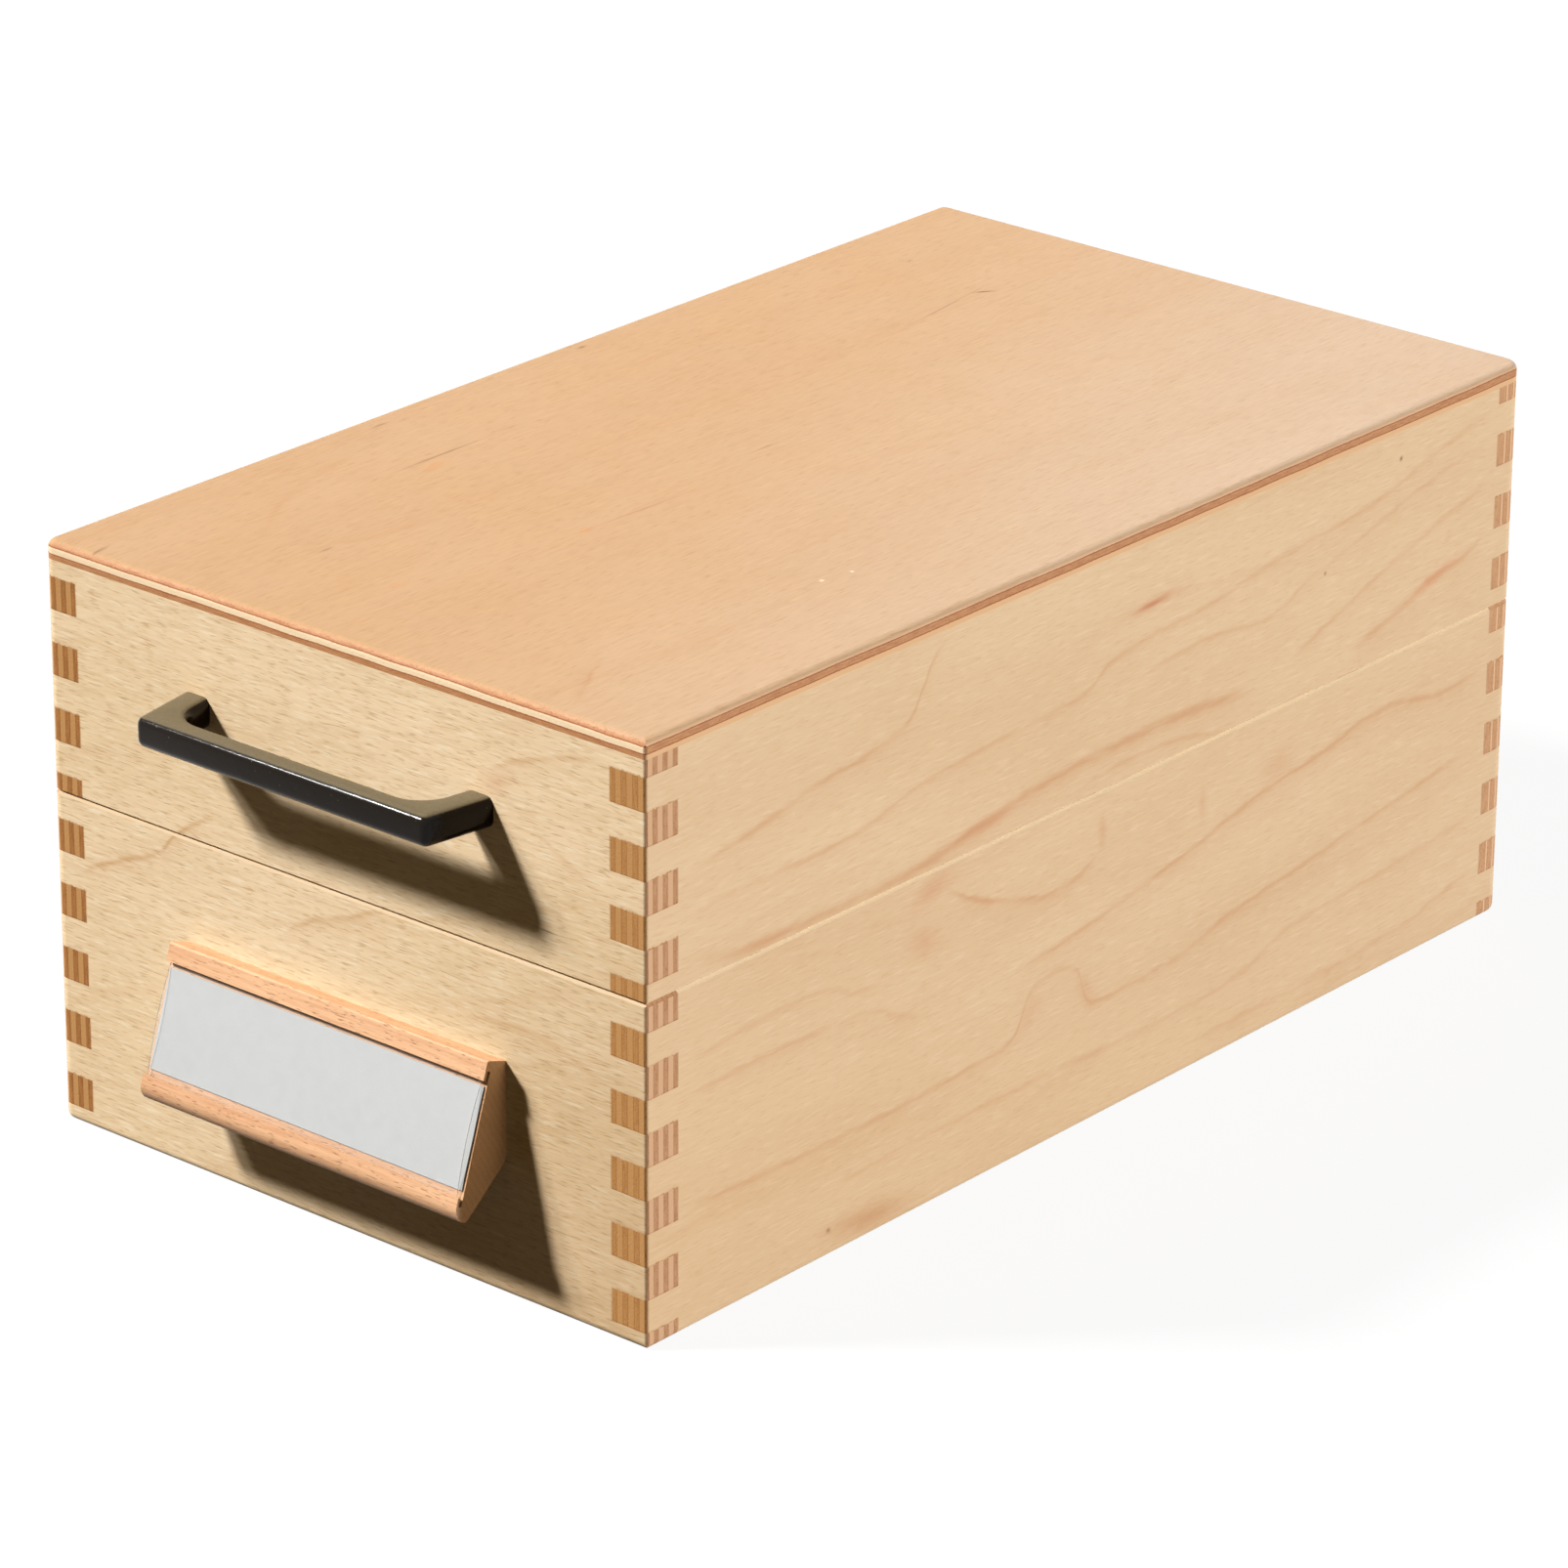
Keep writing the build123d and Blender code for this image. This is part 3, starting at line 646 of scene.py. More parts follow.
@dataclass(frozen=True)
class Plywood:
    """Sanded and lacquered birch plywood on one side of the box.

    Attributes:
        side: The side of the box that it is on.
        layup: The sheet's veneers.
        tones: Its colours.
        seed: Which piece of veneer it is.
        tilt: How steeply the rings cross the grain.
        ring_spacing: From ring to ring.
        ring_strength: How clearly the rings show.
        fibre_strength: How clearly the fibres show.
        roughness: How dull the lacquer is.
        sheen: How strongly it mirrors.
        glue: How dark the glue lines are.
        drift_line: The two places between which the face takes on its drift.
        lines: The growth lines drawn one by one.
        flecks: The marks in the face.
    """

    side: Side
    layup: Layup
    tones: Tones
    seed: float
    tilt: float = 0.0
    ring_spacing: float = 14.0
    ring_strength: float = 0.35
    fibre_strength: float = 0.3
    roughness: float = 0.42
    sheen: float = 0.1
    glue: float = 0.35
    drift_line: tuple[Point, Point] = ((-200.0, 0.0), (400.0, 0.0))
    lines: tuple[GrowthLine, ...] = ()
    flecks: tuple[Fleck, ...] = ()

    def turn(self, graph: Finish) -> None:
        """Turns the graph's place and facing so that X runs with the grain and Z goes into the sheet.

        Args:
            graph: The material's graph.
        """
        grain, across, inward, sign = self.side.value
        point, normal = graph.parts(graph.place), graph.parts(graph.facing)
        depth = graph.times(graph.minus(point[inward], self.side.outer()), sign)
        graph.place = graph.join(point[grain], point[across], depth)
        graph.facing = graph.join(normal[grain], normal[across], normal[inward])

    def marks(self, graph: Finish, colour: Source, shown: Source) -> bpy.types.NodeSocket:
        """Draws the growth lines and flecks.

        Args:
            graph: The material's graph.
            colour: The face's colour so far.
            shown: Where the marks may show.

        Returns:
            The colour with the marks in it.
        """
        along = graph.parts(graph.place)["X"]
        rings: Source = 0.0
        for line in self.lines:
            drawn = graph.use(
                "GrowthLine", Place=graph.place, Height=graph.follow(along, line.points),
                Start=line.points[0][0], End=line.points[-1][0], Width=line.width, Shade=line.shade,
                Strength=line.strength,
            )
            rings = graph.calc("MAXIMUM", rings, drawn["Mask"])
        colour = graph.blend(graph.times(rings, shown), colour, self.tones.ring)
        for fleck in self.flecks:
            spot = graph.use(
                "SoftSpot", Place=graph.place, Middle=(*fleck.middle, 0.0), Reach=(*fleck.reach, 1.0),
                Turn=math.radians(fleck.turn),
            )
            colour = graph.blend(graph.times(spot["Mask"], fleck.strength, shown), colour, fleck.colour)
        return colour

    def drifted(self, graph: Finish, colour: Source) -> bpy.types.NodeSocket:
        """Tints the face more and more from the first to the second place of its drift line, painted shade on
        the front and painted sheen on the top.

        Args:
            graph: The material's graph.
            colour: The face's colour so far.

        Returns:
            The drifted colour.
        """
        begin, end = (Vector((*point, 0.0)) for point in self.drift_line)
        way = end - begin
        offset = graph.vector("SUBTRACT", graph.place, tuple(begin))
        share = graph.vector("DOT_PRODUCT", offset, tuple(way / way.length_squared))
        return graph.blend(graph.ramp(share, 0.0, 1.0), colour, self.tones.drift, "MULTIPLY")

    def joints(self, graph: Finish, turned: bpy.types.NodeOutputs, colour: Source,
               shown: Source) -> bpy.types.NodeSocket:
        """Draws the hairline borders of the finger joints and the fibres that the saw tore there.

        Args:
            graph: The material's graph.
            turned: How far the surface faces along each of the sheet's axes.
            colour: The colour so far.
            shown: Where torn fibres may show.

        Returns:
            The colour with the joints in it.
        """
        joint = graph.use(
            "FingerJoint", Place=graph.place, Corner=self.side.span(self.side.value[0])[1],
            Cut=graph.ramp(turned["X"], 0.4, 0.6),
            Offset=0.0 if self.side in (Side.FRONT, Side.BACK) else JOINT.finger,
        )
        colour = graph.blend(graph.times(joint["Torn"], shown, 0.8), colour, self.tones.edge_joint)
        return graph.blend(graph.times(joint["Border"], 0.45), colour, self.tones.end_dark, "MULTIPLY")

    def material(self) -> bpy.types.Material:
        """Builds the material.

        Returns:
            The finished material.
        """
        graph = Finish("birch_" + self.side.name.lower())
        tones = self.tones
        self.turn(graph)
        place = graph.place
        inner = graph.calc("GREATER_THAN", graph.parts(place)["Z"], sum(self.layup.veneers) / 2)
        outer = graph.minus(1.0, inner)
        face = graph.use(
            "Veneer", Place=place, Tilt=self.tilt, Ring_Spacing=self.ring_spacing,
            Seed=graph.scaled(inner, 20.0, self.seed), Pale=tones.pale, Cloud=tones.cloud,
            Ring=tones.ring, Ring_Strength=self.ring_strength, Fibre=tones.fibre, Glint=tones.glint,
            Fibre_Strength=self.fibre_strength,
        )
        stack = graph.use(self.layup.name, Place=place, Facing=graph.facing, Seed=self.seed)
        end = graph.use("CutEnd", Place=place, Seed=self.seed, Pale=tones.end_pale, Dark=tones.end_dark)
        turned = graph.parts(graph.vector("ABSOLUTE", graph.facing))
        edge = graph.blend(graph.ramp(turned["X"], 0.3, 0.7), tones.edge_rim, tones.edge_joint)
        rim = stack["Edge"]
        if self.side.jointed():
            rim = graph.calc("MAXIMUM", rim, graph.ramp(turned["Y"], 0.4, 0.65))
        colour = self.marks(graph, self.drifted(graph, face["Color"]), outer)
        colour = graph.blend(rim, colour, edge)
        colour = graph.blend(stack["Cut"], colour, end["Color"])
        colour = graph.blend(graph.times(stack["Glue"], self.glue), colour, tones.end_dark, "MULTIPLY")
        if self.side.jointed():
            colour = self.joints(graph, turned, colour, outer)
        rub = graph.use("RubMarks", Place=place, Seed=self.seed)
        roughness = graph.scaled(rub["Smear"], 0.08, self.roughness)
        roughness = graph.scaled(stack["Cut"], 0.15, roughness)
        height = graph.scaled(stack["Cut"], graph.minus(end["Height"], face["Height"]), face["Height"])
        return graph.end(
            Base_Color=colour, Roughness=roughness, Specular_IOR_Level=self.sheen,
            Normal=graph.bump(height, 0.03),
        )


@dataclass(frozen=True)
class Beech:
    """Steamed beech: pinkish tan with short dark pores, and end grain with fine rings, painted paler than its
    own brown as painted light on the shaded end.

    Attributes:
        pale: The main colour.
        rosy: The colour of its soft bands.
        pore: The colour of its pores.
        end: The colour of its end grain, painted paler than beech end grain as painted light on the end that
            lies in shade.
        end_ring_painted_light: The colour of the rings in its end grain, likewise painted pale.
        dimmed_bounce: A greyer colour that only bounced light sees, painted shade that dims the glow the
            moulding throws on the wall behind it.
    """

    pale: Colour = paint(228, 182, 140)
    rosy: Colour = paint(204, 150, 110)
    pore: Colour = paint(138, 88, 54)
    # Painted light: the end grain colours are paler than beech end grain, lifting the shaded end of the
    # moulding.
    end: Colour = paint(232, 196, 162)
    end_ring_painted_light: Colour = paint(206, 162, 124)
    # Painted shade: a greyer colour for bounced light only, which dims the glow on the wall behind the
    # moulding.
    dimmed_bounce: Colour = paint(164, 158, 148)

    def material(self) -> bpy.types.Material:
        """Builds the material.

        Returns:
            The finished material.
        """
        graph = Finish("steamed_beech")
        place = graph.place
        bands = graph.patches(place, (0.02, 0.5, 0.5), 0.35, 0.65, 2.0, 3.0)
        fine = graph.patches(place, (0.12, 2.6, 2.6), 0.38, 0.68, 3.0, 3.0, 0.65)
        pores = graph.patches(place, (0.55, 4.6, 4.6), 0.6, 0.7, 5.0, 1.0)
        tone = graph.scaled(fine, 0.6, graph.times(bands, 0.4))
        colour = graph.blend(tone, self.pale, self.rosy)
        colour = graph.blend(graph.times(pores, 0.6), colour, self.pore)
        sway = graph.join(0.0, graph.noise(place, (0.3, 0.3, 0.3)), 0.0)
        ring_place = graph.parts(graph.vector("ADD", place, sway))
        level = graph.scaled(ring_place["Z"], 0.55, ring_place["Y"])
        rings = graph.ramp(graph.calc("FRACT", graph.calc("DIVIDE", level, 1.15)), 0.3, 0.95)
        dots = graph.patches(place, (5.0, 5.0, 5.0), 0.5, 0.7, 8.0)
        # Painted light: the end grain is paler than beech end grain, lifting the end of the moulding that
        # lies in shade.
        end = graph.blend(graph.scaled(dots, 0.5, graph.times(rings, 0.22)), self.end, self.end_ring_painted_light)
        turned = graph.parts(graph.vector("ABSOLUTE", graph.facing))
        colour = graph.blend(graph.ramp(turned["X"], 0.4, 0.85), colour, end)
        # Painted shade: bounced light takes a greyer colour, dimming the glow on the wall behind the
        # moulding.
        colour = graph.blend(graph.add("LightPath").outputs["Is Diffuse Ray"], colour, self.dimmed_bounce)
        height = graph.scaled(fine, -0.3, graph.times(pores, -0.8))
        return graph.end(
            Base_Color=colour, Roughness=graph.scaled(pores, 0.15, 0.56), Specular_IOR_Level=0.25,
            Normal=graph.bump(height, 0.04),
        )


@dataclass(frozen=True)
class BlackGloss:
    """Glossy black plastic, a little wavy, paler and duller where it faces up, partly a dusty film and partly
    painted reflection of the lit wood.

    Attributes:
        black: The plastic's colour.
        dust_and_reflection: The colour of the dusty film, which is also painted reflection on faces turned
            up.
        dust_and_reflection_cover: How much of the plastic that film hides.
    """

    black: Colour = (0.008, 0.004, 0.001, 1.0)
    dust_and_reflection: Colour = paint(152, 137, 106)
    dust_and_reflection_cover: float = 0.55

    def material(self) -> bpy.types.Material:
        """Builds the material.

        Returns:
            The finished material.
        """
        graph = Finish("black_gloss")
        place = graph.place
        rub = graph.use("RubMarks", Place=place, Seed=3.0)
        grit = graph.noise(place, (3.0, 3.0, 3.0), 4.0, 3.0, 0.7)
        dust_and_reflection_mask = graph.ramp(grit, 0.3, 0.7, self.dust_and_reflection_cover * 0.75, self.dust_and_reflection_cover)
        # Painted reflection: faces turned up take the dusty film's paler colour, standing in for the lit wood
        # that they mirror.
        dust_and_reflection_mask = graph.times(graph.ramp(graph.parts(graph.facing)["Z"], 0.74, 0.93), dust_and_reflection_mask)
        specks = graph.patches(place, (2.2, 2.2, 2.2), 0.72, 0.78, 9.0, 1.0)
        dust_and_reflection_mask = graph.calc("MAXIMUM", dust_and_reflection_mask, graph.times(specks, 0.5))
        roughness = graph.scaled(dust_and_reflection_mask, 0.5, graph.scaled(rub["Smear"], 0.05, 0.15))
        height = graph.scaled(rub["Scratch"], -0.1, graph.noise(place, (0.3, 0.6, 0.6), 6.0, 2.0))
        return graph.end(
            Base_Color=graph.blend(dust_and_reflection_mask, self.black, self.dust_and_reflection), Roughness=roughness,
            Specular_IOR_Level=0.16, Normal=graph.bump(height, 0.1, 0.6),
        )


@dataclass(frozen=True)
class Metal:
    """Bare or plated metal with a fine rolled grain.

    Attributes:
        name: The material's name.
        colour: The metal's colour.
        dull: The colour where it is stained.
        roughness: How dull it is.
        grain: How the rolled grain runs, in changes per millimetre along each axis.
    """

    name: str
    colour: Colour
    dull: Colour
    roughness: float = 0.3
    grain: tuple[float, float, float] = (0.3, 6.0, 6.0)

    def material(self) -> bpy.types.Material:
        """Builds the material.

        Returns:
            The finished material.
        """
        graph = Finish(self.name)
        grain = graph.noise(graph.place, self.grain, 1.0, 2.0, 0.6)
        stain = graph.patches(graph.place, (0.18, 0.18, 0.18), 0.42, 0.7, 5.0, 3.0)
        roughness = graph.scaled(grain, 0.16, self.roughness - 0.06)
        return graph.end(
            Base_Color=graph.blend(graph.times(stain, 0.6), self.colour, self.dull), Metallic=1.0,
            Roughness=graph.scaled(stain, 0.1, roughness), Normal=graph.bump(grain, 0.01, 0.5),
        )


@dataclass(frozen=True)
class Coating:
    """Paint on sheet metal or plain moulded plastic: one colour, with mottle and a fine skin.

    Attributes:
        name: The material's name.
        colour: The main colour.
        shade: The colour of its mottle.
        roughness: How dull it is.
        peel: The size of the skin's grain, in changes per millimetre.
        depth: How deep that grain is, in millimetres.
    """

    name: str
    colour: Colour
    shade: Colour
    roughness: float
    peel: float
    depth: float

    def material(self) -> bpy.types.Material:
        """Builds the material.

        Returns:
            The finished material.
        """
        graph = Finish(self.name)
        rub = graph.use("RubMarks", Place=graph.place, Seed=6.0)
        skin = graph.noise(graph.place, (self.peel,) * 3, 2.0, 2.0)
        mottle = graph.times(graph.patches(graph.place, (0.06, 0.06, 0.06), 0.35, 0.7, 3.0, 3.0), 0.7)
        tone = graph.calc("MAXIMUM", mottle, graph.times(rub["Scratch"], 0.5))
        return graph.end(
            Base_Color=graph.blend(tone, self.colour, self.shade),
            Roughness=graph.scaled(rub["Smear"], 0.1, self.roughness),
            Normal=graph.bump(skin, self.depth, 0.7),
        )


@dataclass(frozen=True)
class Paper:
    """The blank label: smooth white paper with a cloudy formation and loose fibres.

    Attributes:
        sheet: The paper's colour.
        cloud: The colour of its clouds and fibres.
    """

    sheet: Colour = paint(192, 194, 193)
    cloud: Colour = paint(186, 188, 186)

    def material(self) -> bpy.types.Material:
        """Builds the material.

        Returns:
            The finished material.
        """
        graph = Finish("label_paper")
        cloud = graph.patches(graph.place, (0.5, 0.5, 0.5), 0.4, 0.7, 1.0, 3.0)
        fibres = graph.noise(graph.place, (3.0, 7.0, 7.0), 2.0, 2.0, 0.6)
        tone = graph.scaled(graph.ramp(fibres, 0.5, 0.75), 0.4, graph.times(cloud, 0.5))
        return graph.end(
            Base_Color=graph.blend(tone, self.sheet, self.cloud), Specular_IOR_Level=0.2,
            Roughness=graph.scaled(fibres, 0.15, 0.7), Normal=graph.bump(fibres, 0.01, 0.6),
        )


@dataclass(frozen=True)
class ClearFilm:
    """The clear window over the label: nearly invisible face on, milky at its cut edges.

    Attributes:
        tint: The film's own colour.
        veil: How much of it shows on its faces.
        edge: How much shows where it was cut.
    """

    tint: Colour = paint(232, 230, 234)
    veil: float = 0.03
    edge: float = 0.55

    def material(self) -> bpy.types.Material:
        """Builds the material.

        Returns:
            The finished material.
        """
        graph = Finish("clear_film")
        rub = graph.use("RubMarks", Place=graph.place, Seed=8.0)
        gloss = graph.add("Fresnel")
        gloss.inputs["IOR"].default_value = 1.45
        outside = graph.minus(1.0, graph.add("NewGeometry").outputs["Backfacing"])
        clear = graph.scaled(graph.times(gloss.outputs[0], outside), 0.8, self.veil)
        clear = graph.scaled(rub["Smear"], 0.02, clear)
        turned = graph.parts(graph.vector("ABSOLUTE", graph.facing))
        cut = graph.times(graph.ramp(turned["X"], 0.4, 0.9), self.edge)
        return graph.end(
            Base_Color=self.tint, Alpha=graph.calc("MAXIMUM", clear, cut),
            Roughness=graph.scaled(rub["Scratch"], 0.2, 0.08),
            Normal=graph.bump(graph.noise(graph.place, (0.06, 0.2, 0.2), 3.0, 1.0), 0.1, 0.3),
        )


def dress(material: bpy.types.Material, *nodes: str) -> None:
    """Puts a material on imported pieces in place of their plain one.

    Args:
        material: The finish.
        *nodes: The pieces' names.
    """
    for node in nodes:
        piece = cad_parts[node]
        for place in piece.material_slots:
            place.material = material
        if not piece.material_slots:
            piece.data.materials.append(material)
        log.info("dressed %s in %s", node, material.name)


class Bench:
    """Models one new piece in edit mode, starting from a box."""

    def __init__(self, name: str, low: Vector, high: Vector) -> None:
        """Adds the box between two corners, in metres, and enters edit mode.

        Args:
            name: The piece's name.
            low: The box's lowest corner.
            high: Its highest corner.
        """
        bpy.ops.object.select_all(action="DESELECT")
        bpy.ops.mesh.primitive_cube_add(size=1.0, location=(low + high) / 2)
        self.piece = bpy.context.object
        self.piece.name = name
        bpy.ops.object.mode_set(mode="EDIT")
        bpy.ops.transform.resize(value=high - low)
        bpy.ops.object.mode_set(mode="OBJECT")
        bpy.ops.object.transform_apply(location=True, rotation=True, scale=True)
        bpy.ops.object.mode_set(mode="EDIT")

    def pick(self, kind: str, wanted: Callable[[object], bool]) -> None:
        """Selects only the faces or edges that a test accepts.

        Args:
            kind: FACE or EDGE.
            wanted: The test.
        """
        bpy.ops.mesh.select_mode(type=kind)
        bpy.ops.mesh.select_all(action="DESELECT")
        mesh = bmesh.from_edit_mesh(self.piece.data)
        mesh.normal_update()
        for part in [part for part in (mesh.faces if kind == "FACE" else mesh.edges) if wanted(part)]:
            part.select_set(True)
        mesh.select_flush_mode()
        bmesh.update_edit_mesh(self.piece.data)

    def cut(self, place: Vector, normal: tuple[float, float, float]) -> None:
        """Cuts every face along the plane through a place, square to a normal."""
        bpy.ops.mesh.select_all(action="SELECT")
        bpy.ops.mesh.bisect(plane_co=place, plane_no=normal)

    def done(self, angle: float) -> bpy.types.Object:
        """Cleans the mesh, smooths it and leaves edit mode.

        Args:
            angle: The sharpest edge that is still smoothed, in degrees.

        Returns:
            The finished piece.
        """
        bpy.ops.mesh.select_all(action="SELECT")
        bpy.ops.mesh.remove_doubles(threshold=TOUCH)
        bpy.ops.mesh.normals_make_consistent(inside=False)
        bpy.ops.object.mode_set(mode="OBJECT")
        bpy.ops.object.shade_smooth_by_angle(angle=math.radians(angle))
        return self.piece


@dataclass
class Carcase:
    """The finger jointed box: four walls, sawn into base and lid, a top panel and a bottom panel."""

    def build(self) -> None:
        """Dresses every board in the plywood of its side."""
        for sheet in (FRONT_PLY, BACK_PLY, LEFT_PLY, RIGHT_PLY, TOP_PLY, UNDERSIDE_PLY):
            dress(sheet.material(), *sheet.side.boards())


@dataclass
class PullHandle:
    """The black bow handle on the lid and its two screws. Sizes are in millimetres.

    Attributes:
        front_width: The width of the bar.
        bar_depth: Its thickness, front to back.
        leg_width: The width of a leg.
        inner_round: The round between leg and bar.
        corner_round: The round at the bar's ends.
        edge_round: The round along the top edges.
        lower_round: The round along the bottom edges.
        inner_steps: How many flats make up the inner round.
        edge_steps: How many make up each other round.
        smooth_angle: The sharpest edge that is still shaded smooth, in degrees.
    """

    front_width: float = 60.4
    bar_depth: float = 4.3
    leg_width: float = 5.6
    inner_round: float = 4.5
    corner_round: float = 1.2
    edge_round: float = 1.4
    lower_round: float = 1.6
    inner_steps: int = 10
    edge_steps: int = 5
    smooth_angle: float = 35.0

    def bow(self) -> bpy.types.Object:
        """Models the bow from a bar, two extruded legs and bevelled edges.

        Returns:
            The bow, not yet dressed.
        """
        low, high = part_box("handle")
        half = self.front_width * MM / 2
        inner = half - self.leg_width * MM
        back = low.y + self.bar_depth * MM
        bench = Bench("pull_handle", Vector((-half, low.y, low.z)), Vector((half, back, high.z)))
        for side in (-inner, inner):
            bench.cut(Vector((side, 0.0, 0.0)), (1.0, 0.0, 0.0))
        bench.pick("FACE", lambda face: face.normal.y > SQUARE and abs(face.calc_center_median().x) > inner)
        bpy.ops.mesh.extrude_region_move(TRANSFORM_OT_translate={"value": (0.0, high.y - back, 0.0)})
        splay = high.x - half
        share = (back - low.y) / (high.y - low.y)
        for way in (-1.0, 1.0):
            bench.pick("FACE", lambda face: face.normal.y > SQUARE
                       and face.calc_center_median().x * way > inner)
            bpy.ops.transform.translate(value=(splay * way, 0.0, 0.0))
            bench.pick("EDGE", lambda edge: all(
                abs(v.co.y - back) < TOUCH and v.co.x * way > inner - TOUCH for v in edge.verts
            ))
            bpy.ops.transform.translate(value=(splay * share * way, 0.0, 0.0))
        bpy.ops.mesh.select_all(action="SELECT")
        bpy.ops.mesh.dissolve_limited(angle_limit=math.radians(0.5))

        def upright(edge: object, x: float, y: float) -> bool:
            """Tells whether an edge stands upright at a place on either side.

            Args:
                edge: The edge.
                x: How far from the middle the place is.
                y: Where it is, front to back.

            Returns:
                Whether it stands there.
            """
            middle = (edge.verts[0].co + edge.verts[1].co) / 2
            tall = abs(edge.verts[0].co.z - edge.verts[1].co.z) > 0.5 * (high.z - low.z)
            return tall and abs(abs(middle.x) - x) < 5 * TOUCH and abs(middle.y - y) < 5 * TOUCH

        bench.pick("EDGE", lambda edge: upright(edge, inner + splay * share, back))
        bpy.ops.mesh.bevel(offset=self.inner_round * MM, segments=self.inner_steps, affect="EDGES")
        bench.pick("EDGE", lambda edge: upright(edge, half, low.y))
        bpy.ops.mesh.bevel(offset=self.corner_round * MM, segments=self.edge_steps, affect="EDGES")
        for upper, size in ((True, self.edge_round), (False, self.lower_round)):
            level = high.z if upper else low.z
            bench.pick("EDGE", lambda edge: all(abs(v.co.z - level) < TOUCH for v in edge.verts)
                       and sum(abs(face.normal.z) > SQUARE for face in edge.link_faces) == 1
                       and not all(abs(v.co.y - high.y) < TOUCH for v in edge.verts))
            bpy.ops.mesh.bevel(offset=size * MM, segments=self.edge_steps, affect="EDGES")
        return bench.done(self.smooth_angle)

    def build(self) -> None:
        """Models the bow, dresses it and its screws."""
        bow = self.bow()
        bow.data.materials.append(BlackGloss().material())
        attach(bow, "lid")
        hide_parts("handle")
        log.info("modelled pull_handle")
        dress(PLATED_STEEL.material(), "handle_screws")


@dataclass
class LabelHolder:
    """The beech moulding with its paper label and clear film."""

    def build(self) -> None:
        """Dresses the moulding, the label and the film."""
        dress(Beech().material(), "label_holder")
        dress(Paper().material(), "paper_label")
        dress(ClearFilm().material(), "label_film")


@dataclass
class Hinges:
    """The two butt hinges at the back with their pins and screws."""

    def build(self) -> None:
        """Dresses every hinge part in plated steel."""
        kinds = ("base_leaf", "lid_leaf", "pin")
        parts = [f"{hand}_hinge_{kind}" for hand in ("left", "right") for kind in kinds]
        steel = replace(PLATED_STEEL, name="hinge_steel").material()
        dress(steel, *parts, "base_hinge_screws", "lid_hinge_screws")


@dataclass
class CardSupport:
    """The sliding plate that holds the cards up, with its runners and rivets."""

    def build(self) -> None:
        """Dresses the plate, the runners and the rivets."""
        dress(GREY_PAINT.material(), "support_plate")
        dress(WHITE_PLASTIC.material(), "left_runner", "right_runner")
        dress(ALUMINIUM.material(), "runner_rivets")


@dataclass(frozen=True)
class Lamp:
    """A large, even, soft light.

    Attributes:
        name: The lamp's name.
        direction: Where it stands, as seen from the box.
        level: How brightly it lights a white face turned to it, 1 being white.
        spread: How large it looks from the box, in degrees.
    """

    name: str
    direction: tuple[float, float, float]
    level: float
    spread: float

    def add(self) -> None:
        """Adds the lamp to the scene."""
        data = bpy.data.lights.new(self.name, "SUN")
        data.energy = self.level * math.pi
        data.angle = math.radians(self.spread)
        lamp = bpy.data.objects.new(self.name, data)
        lamp.rotation_mode = "QUATERNION"
        lamp.rotation_quaternion = Vector(self.direction).to_track_quat("Z", "Y")
        bpy.context.scene.collection.objects.link(lamp)


